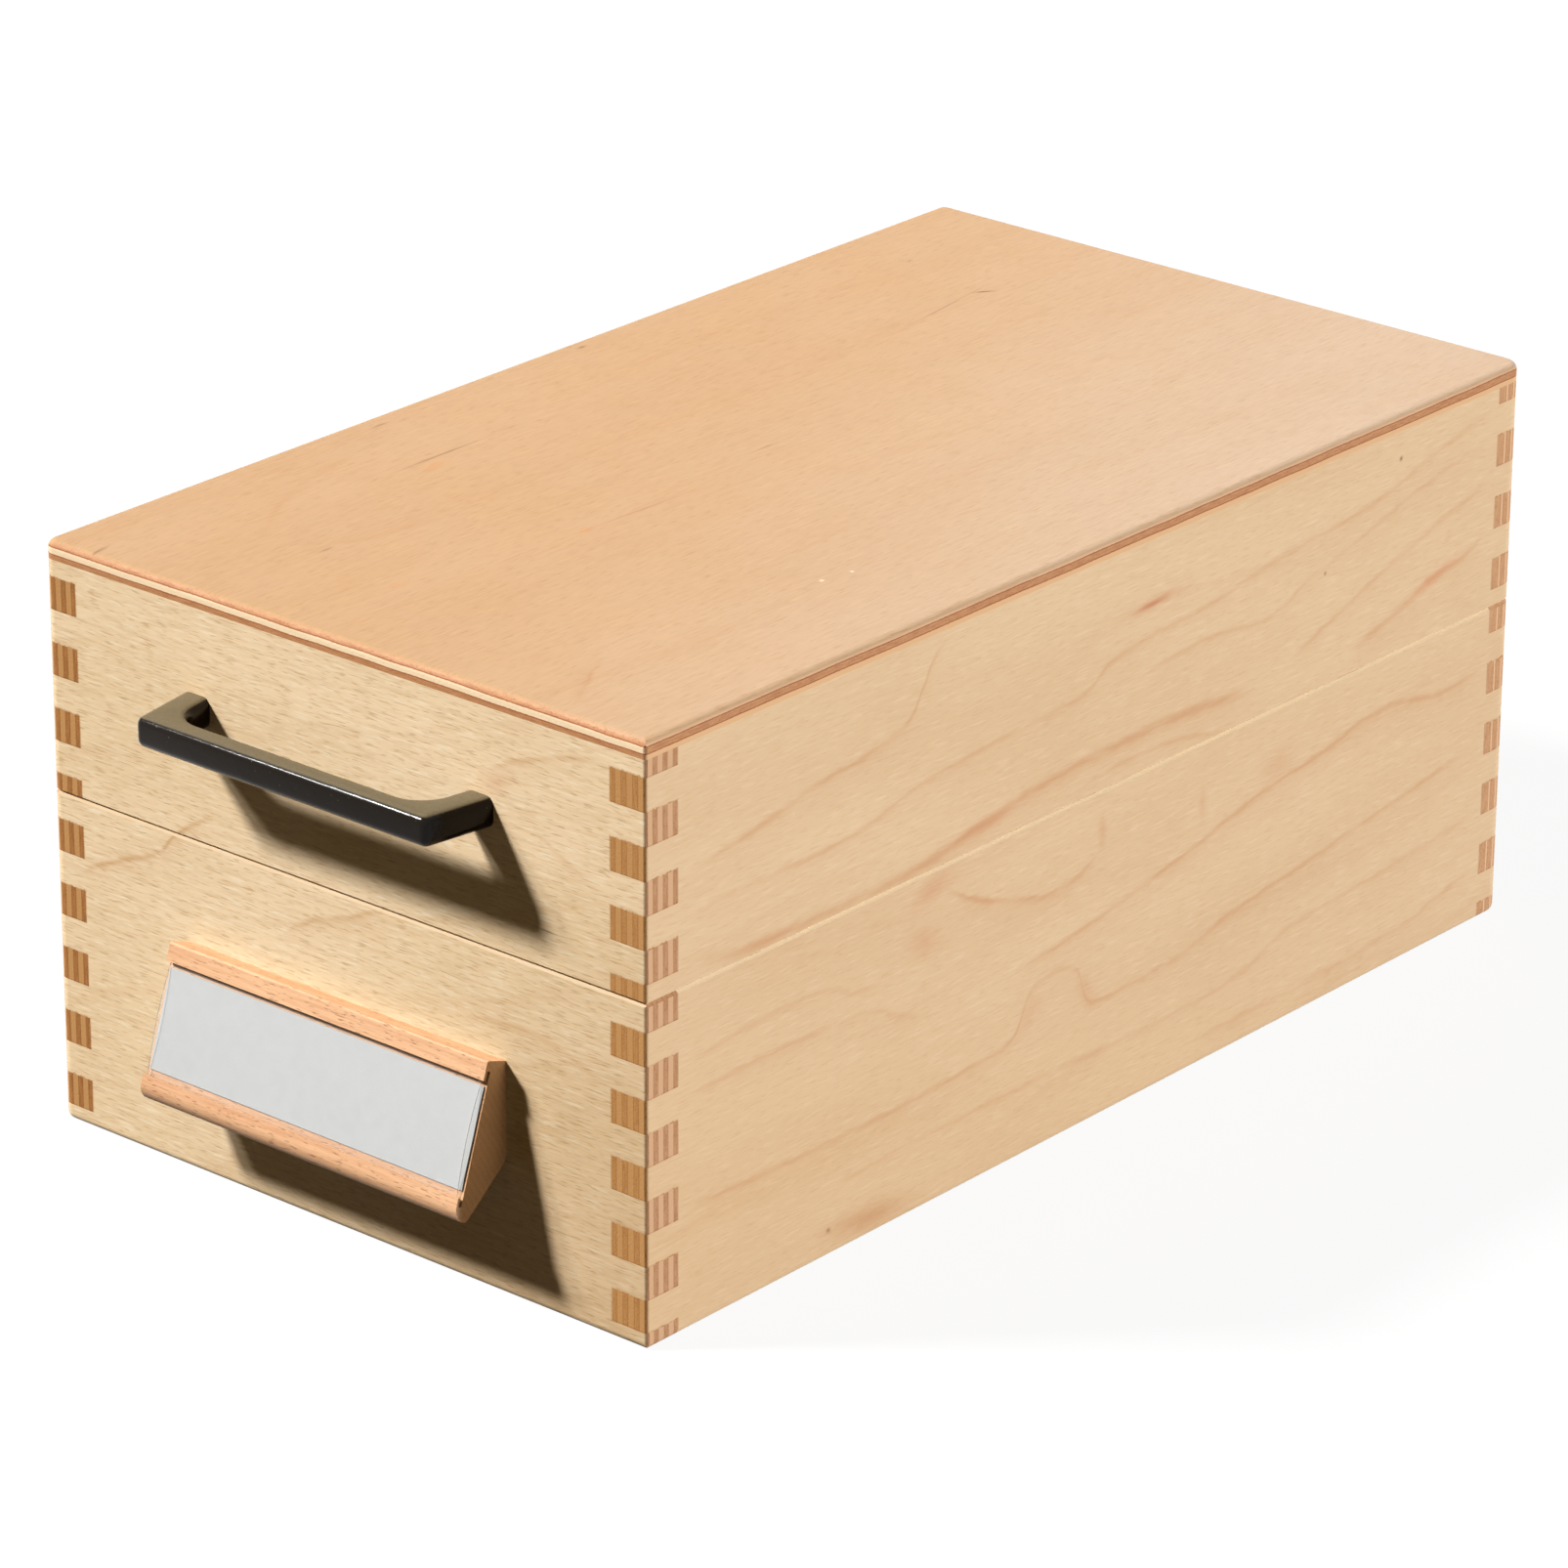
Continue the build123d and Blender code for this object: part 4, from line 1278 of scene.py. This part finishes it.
@dataclass(frozen=True)
class Studio:
    """Floor, lights and camera.

    Attributes:
        azimuth: The camera's turn round the box, in degrees, from straight in front to the right.
        elevation: How far it looks down, in degrees.
        roll: How far it leans, in degrees.
        distance: From the camera to the aim, in metres.
        clip: The nearest and farthest that it sees, in metres.
        aim: The point that it looks at, in metres.
        lens: The focal length, in millimetres on a picture as wide as the sensor.
        sensor: The sensor's width, in millimetres.
        lamps: The key with its outer wing, which draws the line along the handle, and the side fill.
        ambient: The light from all round, which is what the shadows hold.
        bounce: The floor's colour as the box sees it, which throws a little light back.
        floor_glow: How much of the floor's white shows whatever falls on it.
        floor_size: The floor's width, in metres.
    """

    azimuth: float = 40.44
    elevation: float = 22.8
    roll: float = 0.306
    distance: float = 1.1897
    clip: tuple[float, float] = (0.05, 20.0)
    aim: tuple[float, float, float] = (-0.0007, -0.0049, 0.0416)
    lens: float = 167.5
    sensor: float = 36.0
    lamps: tuple[Lamp, ...] = (
        Lamp("key", (-1.07, -1.0, 1.37), 1.5, 7.5),
        Lamp("key_wing", (-1.457, -1.0, 1.37), 0.35, 5.0),
        Lamp("side_fill", (1.0, 0.44, 0.08), 1.04, 8.0),
    )
    ambient: Colour = (0.055, 0.038, 0.014, 1.0)
    bounce: Colour = (0.04, 0.028, 0.01, 1.0)
    floor_glow: float = 0.93
    floor_size: float = 12.0

    def camera(self) -> None:
        """Adds the camera at the photograph's viewing angle."""
        data = bpy.data.cameras.new("camera")
        data.lens = self.lens
        data.sensor_width = self.sensor
        data.clip_start, data.clip_end = self.clip
        camera = bpy.data.objects.new("camera", data)
        turn, down = math.radians(self.azimuth), math.radians(self.elevation)
        back = Vector((math.sin(turn) * math.cos(down), -math.cos(turn) * math.cos(down), math.sin(down)))
        camera.matrix_world = (
            Matrix.Translation(Vector(self.aim) + back * self.distance)
            @ back.to_track_quat("Z", "Y").to_matrix().to_4x4()
            @ Matrix.Rotation(math.radians(self.roll), 4, "Z")
        )
        bpy.context.scene.collection.objects.link(camera)
        bpy.context.scene.camera = camera

    def shown(self, graph: Graph) -> bpy.types.NodeSocket:
        """Gives one for a ray from the camera, a gloss or a glass, and zero for one that lights the box.

        Args:
            graph: The world's or floor's graph.

        Returns:
            The mask.
        """
        path = graph.add("LightPath").outputs
        seen = graph.calc("MAXIMUM", path["Is Camera Ray"], path["Is Transmission Ray"])
        return graph.calc("MAXIMUM", seen, path["Is Glossy Ray"])

    def surroundings(self) -> None:
        """Makes the world plain white where it shows or mirrors, and dim as light."""
        world = bpy.data.worlds.new("studio")
        bpy.context.scene.world = world
        world.use_nodes = True
        graph = Graph(world.node_tree)
        glow = graph.run(graph.add("Background"), Color=graph.blend(self.shown(graph), self.ambient, WHITE))
        graph.run(graph.add("OutputWorld"), Surface=glow[0])

    def floor(self) -> None:
        """Lays the pale floor, which keeps the box's shadow."""
        bpy.ops.object.select_all(action="DESELECT")
        bpy.ops.mesh.primitive_plane_add(size=self.floor_size)
        ground = bpy.context.object
        ground.name = "floor"
        made = bpy.data.materials.new("pale_floor")
        made.use_nodes = True
        graph = Graph(made.node_tree)
        shown = self.shown(graph)
        matte = graph.run(graph.add("BsdfDiffuse"), Color=graph.blend(shown, self.bounce, WHITE))[0]
        glow = graph.run(graph.add("Emission"), Color=WHITE, Strength=1.0)[0]
        mix = graph.run(graph.add("MixShader"), graph.times(shown, self.floor_glow), matte, glow)[0]
        graph.run(graph.add("OutputMaterial"), Surface=mix)
        ground.data.materials.append(made)

    def build(self) -> None:
        """Sets up the whole studio."""
        bpy.context.scene.view_settings.view_transform = "Standard"
        self.surroundings()
        self.floor()
        for lamp in self.lamps:
            lamp.add()
        self.camera()
        log.info("studio: floor, soft lamps, camera")


JOINT = FingerJoint()
WALL_SHEET = Layup("WallVeneers", (0.45, 1.1, 1.0, 1.25, 1.0, 1.25, 0.95))
BACK_SHEET = Layup("BackVeneers", (0.9, 0.45, 1.4, 0.5, 1.4, 0.5, 1.85))
PANEL_SHEET = Layup("PanelVeneers", (0.95, 1.15, 0.9))

PLATED_STEEL = Metal("plated_steel", (0.5, 0.485, 0.45, 1.0), (0.34, 0.32, 0.28, 1.0))
ALUMINIUM = Metal("aluminium", (0.87, 0.87, 0.88, 1.0), (0.7, 0.7, 0.71, 1.0))
GREY_PAINT = Coating("grey_painted_steel", paint(142, 146, 148), paint(128, 132, 135), 0.4, 1.6, 0.03)
WHITE_PLASTIC = Coating("white_plastic", paint(226, 226, 220), paint(214, 213, 205), 0.35, 0.8, 0.01)

BARK = paint(120, 74, 42)
ORANGE = paint(214, 140, 84)
PINK = paint(208, 150, 112)
PALE_SAP = paint(252, 232, 204)

# The front's drift tint is painted shade, darkening it towards the lower right.
FRONT_TONES = Tones(
    pale=paint(243, 216, 178), cloud=paint(236, 208, 167), ring=paint(206, 160, 112),
    fibre=paint(188, 150, 102), glint=paint(250, 234, 204), drift=paint(230, 223, 214),
    end_pale=paint(196, 150, 112), end_dark=paint(182, 134, 96),
    edge_joint=paint(214, 172, 134), edge_rim=paint(196, 168, 130),
)
BACK_TONES = replace(FRONT_TONES, end_pale=paint(208, 162, 122), end_dark=paint(196, 148, 108),
                     edge_joint=paint(232, 190, 150), drift=WHITE)
SIDE_TONES = Tones(
    pale=paint(228, 198, 160), cloud=paint(223, 191, 152), ring=paint(206, 154, 112),
    fibre=paint(202, 160, 118), glint=paint(244, 218, 186), drift=paint(252, 248, 243),
    end_pale=paint(190, 140, 86), end_dark=paint(178, 126, 72),
    edge_joint=paint(194, 144, 90), edge_rim=paint(238, 214, 178),
)
LEFT_TONES = replace(SIDE_TONES, end_pale=paint(178, 122, 70), end_dark=paint(154, 102, 55),
                     edge_joint=paint(194, 144, 90), edge_rim=paint(196, 168, 130))
# The top's drift tint is painted sheen: it turns the face more orange away from its paler, greyer back right.
TOP_TONES = Tones(
    pale=paint(200, 171, 142), cloud=paint(203, 175, 147), ring=paint(188, 136, 88),
    fibre=paint(172, 130, 91), glint=paint(216, 186, 150), drift=paint(252, 234, 205),
    end_pale=paint(196, 140, 92), end_dark=paint(178, 120, 76),
    edge_joint=paint(248, 220, 182), edge_rim=paint(222, 176, 128),
)

FRONT_PLY = Plywood(
    Side.FRONT, WALL_SHEET, FRONT_TONES, seed=1.0, tilt=-0.3, ring_strength=0.16, fibre_strength=0.52,
    # Painted shade: the face darkens from its middle towards the lower right.
    drift_line=((5.0, 60.0), (58.0, 0.0)),
    lines=(
        GrowthLine(((-58.8, 43.6), (-47.5, 48.9), (-38.8, 52.8), (-35.0, 56.7), (-23.8, 63.8)), 0.8),
        GrowthLine(((-15.0, 42.3), (-10.0, 48.2), (1.3, 53.4), (15.0, 58.6)), 0.6),
        GrowthLine(((28.0, 82.0), (31.0, 85.5), (41.3, 90.5), (55.5, 93.8)), 0.6),
        GrowthLine(((38.0, 80.0), (44.0, 76.9), (55.5, 71.6)), 0.45),
        GrowthLine(((22.5, 43.0), (38.8, 45.6), (52.5, 41.7), (55.5, 37.8)), 0.45),
    ),
    flecks=(
        Fleck((43.0, 63.2), (2.2, 0.16), BARK, 0.8, -2.0),
        Fleck((-19.6, 8.7), (0.4, 0.25), PALE_SAP, 0.9),
        Fleck((33.0, 84.5), (3.5, 1.6), PINK, 0.3, 25.0),
    ),
)
BACK_PLY = Plywood(Side.BACK, BACK_SHEET, BACK_TONES, seed=2.0, tilt=0.12, ring_strength=0.5)
LEFT_PLY = Plywood(Side.LEFT, WALL_SHEET, LEFT_TONES, seed=3.0, tilt=0.07, ring_strength=0.55)
RIGHT_PLY = Plywood(
    Side.RIGHT, WALL_SHEET, SIDE_TONES, seed=4.0, tilt=-0.06, ring_strength=0.12, fibre_strength=0.25,
    drift_line=((0.0, 34.0), (-8.0, 0.0)),
    lines=(
        GrowthLine(((-101.8, 74.9), (-88.5, 76.9), (-70.8, 80.1), (-58.2, 81.4), (-50.6, 83.4), (-46.8, 87.9),
                    (-43.6, 92.5), (-37.9, 95.7)), 0.6),
        GrowthLine(((-102.4, 66.4), (-96.1, 68.4), (-64.5, 69.0), (-46.8, 72.3), (-31.6, 73.6), (-7.6, 74.9),
                    (1.3, 78.8), (26.6, 80.8), (45.5, 83.4), (67.0, 85.3), (84.7, 89.2), (102.4, 93.1)), 0.5),
        GrowthLine(((6.0, 73.2), (26.6, 74.9), (39.2, 73.6), (50.6, 76.9), (64.5, 80.1), (77.1, 83.4),
                    (101.0, 88.0)), 0.45),
        GrowthLine(((45.0, 64.0), (64.5, 70.3), (79.7, 74.9), (102.4, 80.5)), 0.45),
        GrowthLine(((-100.0, 61.0), (-64.0, 58.2), (-31.6, 61.0), (-7.6, 63.5), (13.9, 63.8),
                    (38.0, 61.5)), 0.8, 0.9, -4.0),
        GrowthLine(((62.0, 61.0), (77.1, 64.5), (86.0, 67.5), (94.8, 69.0), (102.4, 73.6)), 0.7, 0.8),
        GrowthLine(((-10.0, 58.0), (1.3, 60.2), (13.9, 60.2), (26.6, 58.0), (38.0, 56.4)), 0.5),
        GrowthLine(((-43.6, 55.4), (-34.1, 49.2), (-24.0, 45.6), (-12.6, 43.6), (-3.8, 45.6),
                    (0.5, 48.5)), 0.8),
        GrowthLine(((-24.0, 32.6), (-3.8, 35.0), (13.9, 37.8), (39.2, 43.0), (58.2, 45.6), (74.6, 47.9),
                    (90.0, 45.8), (102.4, 47.6)), 0.65),
        GrowthLine(((-102.0, 39.1), (-84.8, 39.4), (-59.4, 38.5), (-53.1, 36.0), (-44.3, 32.8)), 0.5),
        GrowthLine(((-102.4, 44.5), (-70.0, 45.6), (-59.4, 42.5), (-50.0, 50.0)), 0.35),
        GrowthLine(((-101.0, 20.8), (-62.0, 19.5), (-25.3, 20.8), (-20.2, 26.7), (-12.6, 29.5), (-6.3, 26.5),
                    (-2.5, 20.8), (13.9, 21.0), (33.0, 24.5), (55.0, 27.0), (100.0, 33.0)), 0.6),
        GrowthLine(((-68.0, 11.7), (-36.7, 12.4), (26.6, 11.7), (51.8, 17.0), (77.1, 18.2),
                    (102.4, 20.8)), 0.4),
        GrowthLine(((20.0, 5.0), (77.1, 5.8), (89.7, 7.8), (102.4, 10.4)), 0.5),
    ),
    flecks=(
        Fleck((9.9, 85.1), (3.6, 0.5), paint(186, 112, 74), 0.75, 3.0),
        Fleck((11.5, 85.3), (6.5, 0.9), PINK, 0.4, 4.0),
        Fleck((75.6, 91.2), (0.35, 0.35), BARK, 0.8),
        Fleck((55.7, 76.9), (0.3, 0.3), BARK, 0.6),
        Fleck((-68.0, 4.6), (0.5, 0.35), BARK, 0.7),
        Fleck((-32.0, 60.4), (7.0, 1.1), PINK, 0.45, 4.0),
        Fleck((-43.6, 54.0), (4.5, 1.8), PINK, 0.45, 20.0),
        Fleck((-45.5, 45.6), (4.0, 2.2), PINK, 0.4, -15.0),
        Fleck((-1.5, 50.0), (1.0, 3.0), PINK, 0.35),
        Fleck((44.3, 46.9), (4.5, 2.4), PINK, 0.3, 10.0),
        Fleck((24.5, 46.5), (0.9, 2.8), PINK, 0.3),
        Fleck((-58.2, 3.2), (9.0, 2.2), paint(192, 132, 86), 0.5, -6.0),
        Fleck((86.0, 67.2), (6.0, 0.9), paint(216, 140, 104), 0.4, 18.0),
        Fleck((-19.0, 24.0), (3.2, 2.0), PINK, 0.25, 50.0),
        Fleck((-5.0, 24.0), (3.0, 1.6), PINK, 0.3, -60.0),
    ),
)
TOP_PLY = Plywood(
    Side.TOP, PANEL_SHEET, TOP_TONES, seed=5.0, ring_strength=0.1, fibre_strength=0.34, sheen=0.35, glue=0.9,
    # Painted sheen: the back right stays paler and greyer, the rest is tinted towards orange.
    drift_line=((100.0, 55.0), (60.0, -55.0)),
    lines=(
        GrowthLine(((-89.8, -35.0), (-80.0, -42.0), (-69.5, -47.5), (-50.0, -52.0)), 0.4, 0.8),
        GrowthLine(((-89.8, -35.0), (-84.0, -29.0), (-78.0, -25.0), (-60.0, -22.5)), 0.35, 0.8),
        GrowthLine(((-108.0, 46.5), (-98.0, 40.5), (-88.5, 35.0)), 0.7, 0.5),
    ),
    flecks=(
        Fleck((77.8, -27.1), (1.5, 0.28), BARK, 0.95, 35.0),
        Fleck((67.0, -27.0), (7.5, 0.18), BARK, 0.45, -8.0),
        Fleck((-41.5, -41.7), (7.5, 0.2), BARK, 0.7),
        Fleck((-46.0, -39.0), (2.5, 1.1), ORANGE, 0.35),
        Fleck((-40.0, -1.1), (9.0, 0.2), paint(176, 108, 66), 0.5, 3.0),
        Fleck((-52.0, -1.5), (1.2, 0.4), ORANGE, 0.7),
        Fleck((-84.5, -26.0), (1.4, 0.3), BARK, 0.5),
        Fleck((-88.5, -7.5), (1.6, 0.3), ORANGE, 0.6),
        Fleck((-5.5, -5.0), (2.6, 0.18), BARK, 0.35),
        Fleck((11.6, -59.4), (0.9, 0.35), BARK, 0.7),
        Fleck((-38.0, -58.5), (1.6, 0.3), BARK, 0.5),
        Fleck((82.0, -47.0), (0.8, 0.35), BARK, 0.4),
        Fleck((-108.0, -52.0), (2.4, 0.3), BARK, 0.6, -10.0),
        Fleck((-44.0, 40.0), (0.35, 0.3), PALE_SAP, 0.9),
        Fleck((-38.0, 41.0), (0.3, 0.3), PALE_SAP, 0.8),
    ),
)
UNDERSIDE_PLY = Plywood(Side.UNDERSIDE, PANEL_SHEET, FRONT_TONES, seed=6.0, ring_strength=0.5)


def main() -> None:
    """Builds every effect, sub-assembly and the studio in order."""
    for effect in (soft_spot, growth_line, veneer, cut_end, rub_marks, JOINT.group):
        effect()
    for sheet in (WALL_SHEET, BACK_SHEET, PANEL_SHEET):
        sheet.group()
    for assembly in (Carcase(), PullHandle(), LabelHolder(), Hinges(), CardSupport(), Studio()):
        assembly.build()


if __name__ == "__main__":
    main()
